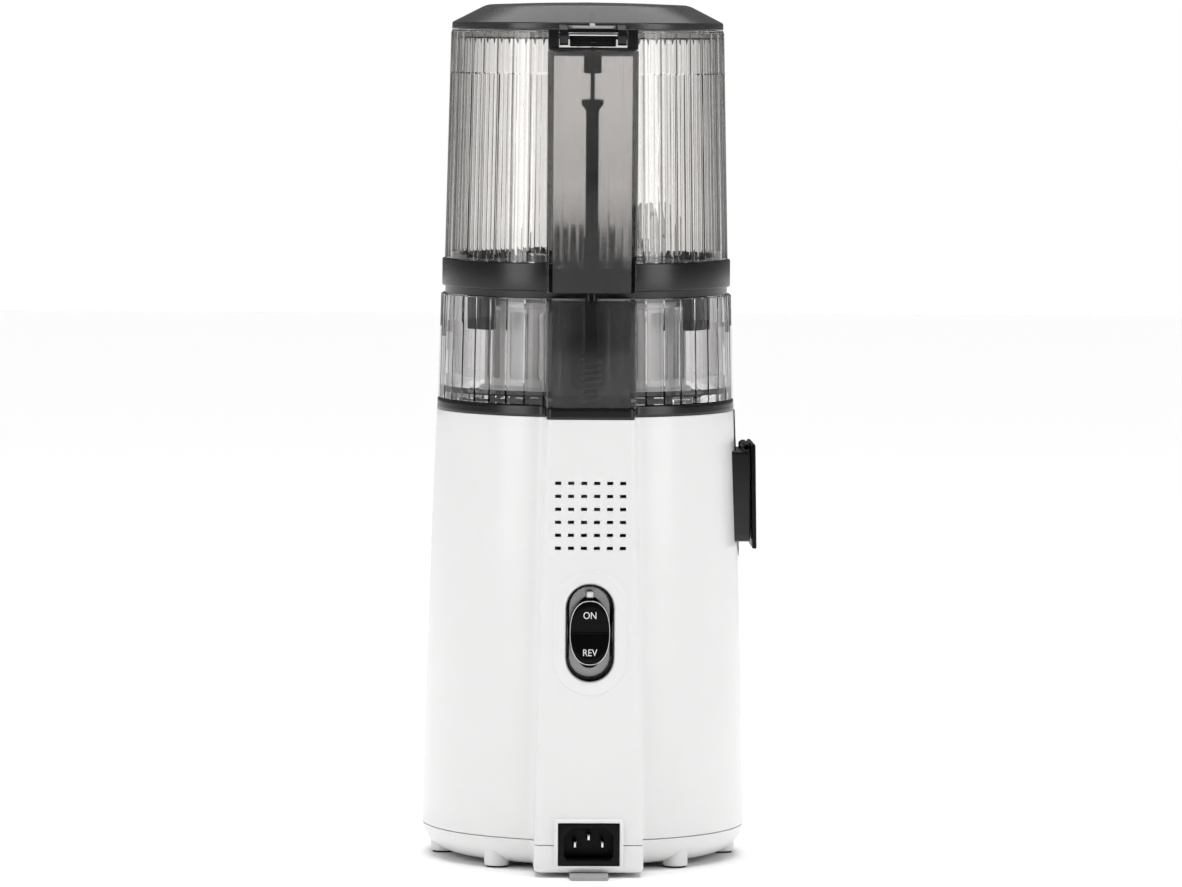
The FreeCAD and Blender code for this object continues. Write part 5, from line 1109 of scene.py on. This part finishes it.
def make_lid():
    """The smoked lid: a low dome with a skirt, two hinge arms, a tongue, a rib and the striker."""
    outline = [(0.0, LID_TOP_Z), (24.0, 444.2), (52.3, 443.2), (LID_R, 433.9), (LID_R, LID_EDGE_Z),
               (65.0, LID_EDGE_Z), (51.3, 440.6), (24.0, 441.7), (0.0, 441.9)]
    lid = turned("lid_dome", rounded(outline, [0, 8, 3.0, 0.9, 0.5, 1.0, 3.0, 6, 0], 5), 180)
    finish_piece(smooth(lid, 35), "cover", "smoke_dark", ["lid"], LID_SMOKE)
    skirt = turned("lid_skirt", rounded(rectangle(65.0, 67.2, 425.5, 430.6), 0.5), 180)
    finish_piece(skirt, "cover", "smoke_dark")
    band = turned("lid_band",
                  rounded([(70.55, 430.9), (70.2, 430.5), (69.2, 430.42), (69.2, 430.9), (70.3, 433.0)],
                                      0.1, 2), 180)
    finish_piece(band, "cover", "black_satin")
    outline = rounded([(66.0, 431.0), (73.6, 430.6), (74.2, 427.6), (84.4, 425.4), (85.2, 422.6),
                       (90.4, 422.6),
                       (91.0, 428.0), (90.0, 430.8), (84.0, 431.0), (70.0, 433.2)], 1.1, 4)
    arms = joined("lid_arms", side_pair("arm", outline, 12.6, 17.0, 0.5))
    cut(arms, crosswise("pin_room", 1.15, 30, HINGE_Y, HINGE_Z))
    finish_piece(smooth(arms), "cover", "black_satin")
    tongue = rounded([(-12.4, 70.2), (12.4, 70.2), (10.6, 86.4), (-10.6, 86.4)], 0.8)
    finish_piece(pressed("lid_tongue", tongue, 431.1, 432.5, "z"), "cover", "grey_plastic")
    rib = rounded([(58.0, 440.0), (70.0, 433.8), (86.0, 432.3), (86.0, 431.3), (70.0, 431.3)], 0.3, 2)
    finish_piece(pressed("lid_rib", rib, -1.3, 1.3, "x"), "cover", "grey_plastic")
    bar = block("striker", -11.7, 11.7, 79.0, 86.5, 422.0, 427.2, 0.7)
    web = block("web", -12.5, 12.5, 79.0, 86.6, 427.0, 431.0, 0.6)
    peg = rod("peg", 1.5, (0, 86.2, 424.4), (0, 87.4, 424.4), 0.3)
    cut(bar, block("groove", -10.6, 10.6, 86.2, 90.0, 423.2, 423.5, 0.1, 1))
    finish_piece(joined("lid_striker_bar", [bar, web, peg]), "cover", "black_satin", ["lid_striker"])


def make_hinge():
    """The bracket on the channel roof: a plate, two knuckles and the pin through them."""
    plate = block("plate", -22, 22, 76.5, 94.0, 420.0, 421.5, 0.4)
    outline = rounded([(84.2, 420.4), (91.8, 420.4), (91.4, 428.0), (90.6, 431.0), (85.4, 431.0),
                       (84.6, 428.0)],
                      1.2, 4)
    bracket = joined("hinge_knuckles", [plate] + side_pair("knuckle", outline, 17.3, 22.8, 0.5))
    cut(bracket, crosswise("pin_room", 1.12, 30, HINGE_Y, HINGE_Z))
    cut(bracket, upright("rod_room", ROD_NECK_R, 415, 425, ROD_Y))
    finish_piece(smooth(bracket), "feed", "black_satin", ["hinge_bracket"])
    pin = crosswise("hinge_rod", 1.1, 23, HINGE_Y, HINGE_Z, 0.25)
    finish_piece(pin, "feed", "bright_metal", ["hinge_pin"])


# ---------------------------------------------------------------- working parts

THREADS = 3
THREAD_R = 47.6
THREAD_TURNS = 1.25
THREAD_STEPS = 110


def make_auger():
    """The auger: a waisted core with three smooth screw threads."""
    core = rounded([(14.2, 244.0), (31.0, 244.0), (17.0, 292.0), (12.0, 296.0), (12.0, 304.0), (9.0, 304.0),
                    (10.0, 266.0), (10.0, 251.4), (14.2, 251.4)],
                    [0.5, 1.5, 4.0, 3.0, 0.5, 0.3, 0.3, 0.3, 0.3], 4)
    parts = [turned("core", core, 96)]
    low_z, high_z, thick = 246.6, 280.5, 3.5
    for start in range(THREADS):
        rings = []
        for step in range(THREAD_STEPS + 1):
            t = step / THREAD_STEPS
            a = TAU * (start / THREADS + THREAD_TURNS * t)
            z = low_z + (high_z - low_z) * t
            fade = min(1.0, 8 * t + 0.25, 8 * (1 - t) + 0.25)
            inner = between(z + thick, 244.0, 292.0, 31.0, 17.0) - 1.5
            tip = inner + (THREAD_R - inner) * fade
            outline = [(inner, z), (tip - 1.4, z), (tip - 0.4, z + 0.3), (tip, z + 0.9), (tip - 0.3, z + 1.6),
                       (tip - 1.2, z + 2.0), (inner, z + thick)]
            rings.append([(r * math.cos(a), r * math.sin(a), h) for r, h in outline])
        parts.append(lofted("thread", rings))
    finish_piece(joined("auger_screw", parts), "screw", "pale_plastic", ["auger"])


def make_wing():
    """The cutting wing: a hub cone with one tall and one low blade."""
    hub = turned("hub", rounded([(0.0, 304.0), (12.0, 304.0), (12.0, 314.0), (6.0, 334.0), (0.0, 334.0)],
                                [0, 0.4, 3.0, 2.5, 0], 5), 96)
    parts = [hub]
    tall = [(0, 314.0), (-40.4, 314.0), (-39.6, 329.0), (-36.0, 340.8), (-27.5, 340.6), (-25.6, 331.0),
            (-24.0, 321.0), (-6.0, 320.0)]
    low = [(0, 314.0), (36.0, 314.0), (35.0, 316.0), (27.0, 318.0), (19.0, 317.5), (6.0, 319.0)]
    parts.append(pressed("blade", rounded(tall, [0, 0.8, 5, 5, 5, 4, 5, 1], 7), -1.3, 1.3, "y", 0.6, 4))
    parts.append(pressed("blade", rounded(low, [0, 0.8, 2, 5, 5, 1], 6), -1.3, 1.3, "y", 0.6, 4))
    finish_piece(joined("wing", parts), "screw", "smoke_clear", ["cutting_wing"], WING_SMOKE)


def make_filter():
    """The filter basket: a white frame with windows between its ribs."""
    foot = turned("foot",
                  rounded([(48.8, 242.8), (56.0, 242.8), (56.0, 246.0), (51.4, 246.6), (48.8, 246.0)], 0.5))
    rim = turned("rim",
                 rounded([(50.0, 290.0), (61.0, 290.0), (61.0, 287.0), (52.0, 286.4), (50.0, 284.0)], 0.6))
    wall = turned("wall", rectangle(50.0, 51.4, 246.0, 287.5), 128)
    windows = 16
    for i in range(windows):
        cut(wall, spun(block("window", 45, 56, -6.5, 6.5, 250, 284, 1.6), 360.0 * i / windows))
    finish_piece(joined("filter_frame", [foot, rim, wall]), "chamber", "pale_plastic", ["filter_basket"])


# ---------------------------------------------------------------- spouts

def make_pulp_outlet():
    """The pulp nozzle: a rounded duct through the side, open at its mouth."""
    mouth = node_box("pulp_spout")[0].x
    root = -50.0
    rings = []
    for x, grow, corner in ((root, 0, 4.0), (mouth + 2.4, 0, 4.0), (mouth + 0.4, 0, 4.0), (mouth, -0.4, 3.8),
                            (mouth, -1.6, 3.2), (mouth + 0.5, -2.0, 3.0), (root, -2.0, 3.0)):
        corners = rectangle(-DUCT_HALF - grow, DUCT_HALF + grow, DUCT_LOW_Z - grow, DUCT_TOP_Z + grow)
        rings.append([(x, y, z) for y, z in rounded(corners, [corner, corner, 1.6, 1.6], 6)])
    parts = [lofted("pulp_nozzle", rings, loop=True)]
    outline = rounded([(-81.0, 211.0), (-81.0, 214.6), (-82.6, 215.9), (-84.6, 215.9), (-85.4, 214.0),
                       (-84.8, 211.0)], 0.7, 4)
    for y in (-15.0, 15.0):
        parts.append(pressed("ear", outline, y - 2.5, y + 2.5, "y", 0.4, 3))
    finish_piece(joined("pulp_nozzle", parts), "base", "black_satin", ["pulp_spout"])
    finish_piece(open_box("pulp_chute", -71.5, -31.0, -20.0, 20.0, 207.0, 228.0, 2.0), "base", "black_satin")


def open_box(name, x0, x1, y0, y1, z0, z1, wall):
    """A box that is open at the top, with a wall thickness."""
    rings = []
    for inset, z in ((0, z0), (0, z1), (wall, z1), (wall, z0 + wall)):
        corners = rectangle(x0 + inset, x1 - inset, y0 + inset, y1 - inset)
        rings.append([(x, y, z) for x, y in corners])
    return smooth(lofted(name, rings))


def make_pulp_flap():
    """The flat door over the pulp nozzle, leaning out towards its lower edge and hung on its pin."""
    outline = [(-85.7, 215.9), (-87.9, 215.9), (-88.9, 161.6), (-86.7, 161.6)]
    plate = pressed("plate", outline, -22.5, 22.5, "y", 0.7, 4)
    eye = rod("eye", 1.85, (-83.5, -9, 214), (-83.5, 9, 214), 0.3)
    bar = block("bar", -86.4, -83.5, -9, 9, 213.0, 215.8, 0.4)
    finish_piece(joined("pulp_door", [plate, eye, bar]), "flap", "black_satin", ["pulp_flap"], DEEP_BLACK)


CAP_PIN_Y = -102
CAP_PIN_Z = 269


def make_juice_outlet():
    """The juice spout with its flange and ears, and the hinged cap with its lever."""
    root, end, back = -74.5, -104.0, -104.2
    tube = barrel("tube",
                  [(11.0, root), (14.0, root), (14.0, -78.2), (13.6, -78.8), (11.4, -79.2), (11.0, -80.2),
                           (10.7, end + 0.5), (10.3, end), (8.5, end), (8.0, end + 0.5), (8.0, root)],
                  SPOUT_Z, loop=True)
    cut(tube, lofted("drum_room", [plain_ring(DRUM_LOW_R - 0.2, 230), plain_ring(DRUM_TOP_R - 0.2, 300)]))
    outline = rounded([(-98.0, 262.0), (-97.8, 269.0), (-99.0, 271.6), (-101.6, 272.0), (-103.8, 270.6),
                       (-103.6, 262.0)], 1.2, 4)
    spout = joined("juice_tube", [tube] + side_pair("ear", outline, 4.2, 8.0, 0.4))
    cut(spout, crosswise("pin_room", 1.2, 12, CAP_PIN_Y, CAP_PIN_Z))
    finish_piece(smooth(spout), "chamber", "smoke_dark", ["juice_spout"])
    disc = barrel("disc", [(0.05, back - 3.0), (11.6, back - 3.0), (12.3, back - 2.6), (12.5, back - 1.8),
                           (12.5, back - 0.5), (12.2, back), (7.4, back), (7.4, back + 3.4),
                           (6.9, back + 4.0),
                           (0.05, back + 4.0)], SPOUT_Z)
    arm_outline = rounded([(-107.2, 256.0), (-104.2, 256.0), (-104.2, 265.8), (-100.0, 267.0), (-99.8, 270.4),
                           (-102.0, 271.4), (-107.0, 270.4)], 1.0, 4)
    arm = pressed("arm", arm_outline, -3.9, 3.9, "x", 0.5, 3)
    cut(arm, crosswise("pin_room", 1.25, 12, CAP_PIN_Y, CAP_PIN_Z))
    lever_outline = rounded([(-107.2, 252.0), (-104.4, 252.0), (-104.4, 236.0), (-105.2, 232.0),
                             (-107.2, 232.0)],
                            0.8, 4)
    lever = pressed("lever", lever_outline, -5.0, 5.0, "x", 0.7, 3)
    finish_piece(joined("juice_stopper", [disc, arm, lever]), "cap", "black_satin", ["juice_cap"])


# ---------------------------------------------------------------- room, light, camera

VIEW_DISTANCE = 3.31     # from the auger axis
VIEW_HEIGHT = 0.438
VIEW_YAW = 1.8           # degrees the camera stands to the side of the spine
VIEW_ROLL = 0.38
AIM_SIDE = -0.0031
AIM_HEIGHT = 0.2146
LENS = 193.4

# Brightness against direction: 0 is straight behind the object, 1 is behind the camera
LIGHT_STOPS = [(0.0, grey(0.15)), (0.35, grey(0.14)), (0.55, grey(0.10)), (0.85, grey(0.08)),
               (1.0, grey(0.08))]
GLASS_STOPS = [(0.0, grey(0.96)), (0.05, grey(0.96)), (0.09, grey(0.30)), (0.30, grey(0.12)),
               (0.50, grey(0.60)),
               (0.65, grey(0.40)), (0.80, grey(0.08)), (1.0, grey(0.08))]
SOFTBOX_ANGLE = 56       # degrees from the camera side
SOFTBOX_FAR = 1.5
SOFTBOX_W = 0.62
SOFTBOX_H = 1.3
SOFTBOX_POWER = 8.0
SOFTBOX_Z = 0.75
LID_BOX_POWER = 7.0
SUN_POWER = 3.2


def make_room():
    half = 6000.0
    corners = [(x, y, 0) for x, y in rectangle(-half, half, -half, half)]
    floor = make_object("floor", corners, [(0, 1, 2, 3)])
    material, _, principled = shader("floor_white")
    principled.inputs["Base Color"].default_value = (0.93, 0.93, 0.93, 1.0)
    principled.inputs["Roughness"].default_value = 0.7
    principled.inputs["Specular IOR Level"].default_value = 0.2
    floor.data.materials.append(material)


def area_light(name, place, aim, width, height, power):
    light = bpy.data.lights.new(name, "AREA")
    light.shape = "RECTANGLE"
    light.size = width
    light.size_y = height
    light.energy = power
    obj = bpy.data.objects.new(name, light)
    obj.location = place
    direction = Vector(aim) - Vector(place)
    obj.rotation_euler = direction.to_track_quat("-Z", "Y").to_euler()
    bpy.context.scene.collection.objects.link(obj)


def make_world():
    """White to the camera, and dimmer for the light it gives and for what shows through glass."""
    world = bpy.data.worlds.new("studio")
    world.use_nodes = True
    tree = world.node_tree
    background = tree.nodes["Background"]
    coordinates = tree.nodes.new("ShaderNodeTexCoord")
    split = tree.nodes.new("ShaderNodeSeparateXYZ")
    tree.links.new(coordinates.outputs["Generated"], split.inputs["Vector"])
    place = tree.nodes.new("ShaderNodeMapRange")
    place.inputs["From Min"].default_value = -1.0
    tree.links.new(split.outputs["Y"], place.inputs["Value"])
    paths = tree.nodes.new("ShaderNodeLightPath")
    light = ramp_node(tree, place.outputs["Result"], LIGHT_STOPS)
    glass = ramp_node(tree, place.outputs["Result"], GLASS_STOPS)
    through = mixed(tree, paths.outputs["Is Transmission Ray"], light, glass)
    seen = mixed(tree, paths.outputs["Is Camera Ray"], through, grey(1.0))
    tree.links.new(seen, background.inputs["Color"])
    background.inputs["Strength"].default_value = 1.0
    bpy.context.scene.world = world


def make_light():
    """A tall soft box each side of the camera and an even light from above."""
    angle = math.radians(SOFTBOX_ANGLE)
    for side, name in ((-1, "soft_box_b"), (1, "soft_box_a")):
        place = (side * SOFTBOX_FAR * math.sin(angle), SOFTBOX_FAR * math.cos(angle), SOFTBOX_Z)
        area_light(name, place, (0, 0, 0.28), SOFTBOX_W, SOFTBOX_H, SOFTBOX_POWER)
    area_light("lid_box", (0, -0.95, 1.75), (0, 0, 0.44), 1.5, 1.0, LID_BOX_POWER)
    sun = bpy.data.lights.new("overhead", "SUN")
    sun.energy = SUN_POWER
    sun.angle = math.radians(50)
    obj = bpy.data.objects.new("overhead", sun)
    obj.visible_glossy = False
    bpy.context.scene.collection.objects.link(obj)
    bpy.context.scene.view_settings.view_transform = "Standard"


def make_camera():
    yaw = math.radians(VIEW_YAW)
    away = Vector((math.sin(yaw), math.cos(yaw), 0.0))
    side = Vector((math.cos(yaw), -math.sin(yaw), 0.0))
    place = away * VIEW_DISTANCE + Vector((0, 0, VIEW_HEIGHT))
    aim = side * AIM_SIDE + Vector((0, 0, AIM_HEIGHT))
    data = bpy.data.cameras.new("camera")
    data.sensor_fit = "HORIZONTAL"
    data.sensor_width = 36.0
    data.lens = LENS
    data.clip_start = 0.1
    data.clip_end = 50.0
    obj = bpy.data.objects.new("camera", data)
    turn = (aim - place).to_track_quat("-Z", "Y") @ Matrix.Rotation(math.radians(VIEW_ROLL), 3,
                                                                    "Z").to_quaternion()
    obj.rotation_mode = "QUATERNION"
    obj.rotation_quaternion = turn
    obj.location = place
    bpy.context.scene.collection.objects.link(obj)
    bpy.context.scene.camera = obj


for make in (
        dress_cad_nodes, make_shell, make_base, make_feet, make_stand_tab, make_deck, make_apron,
        make_switch_pad, make_bezel, make_rocker, make_marks, make_inlet, make_hopper, make_drum,
        make_channel, make_drum_channel, make_rods, make_collar, make_tooth_ring, make_lid,
        make_hinge, make_auger, make_wing, make_filter, make_pulp_outlet, make_pulp_flap,
        make_juice_outlet, make_room, make_world, make_light, make_camera):
    make()
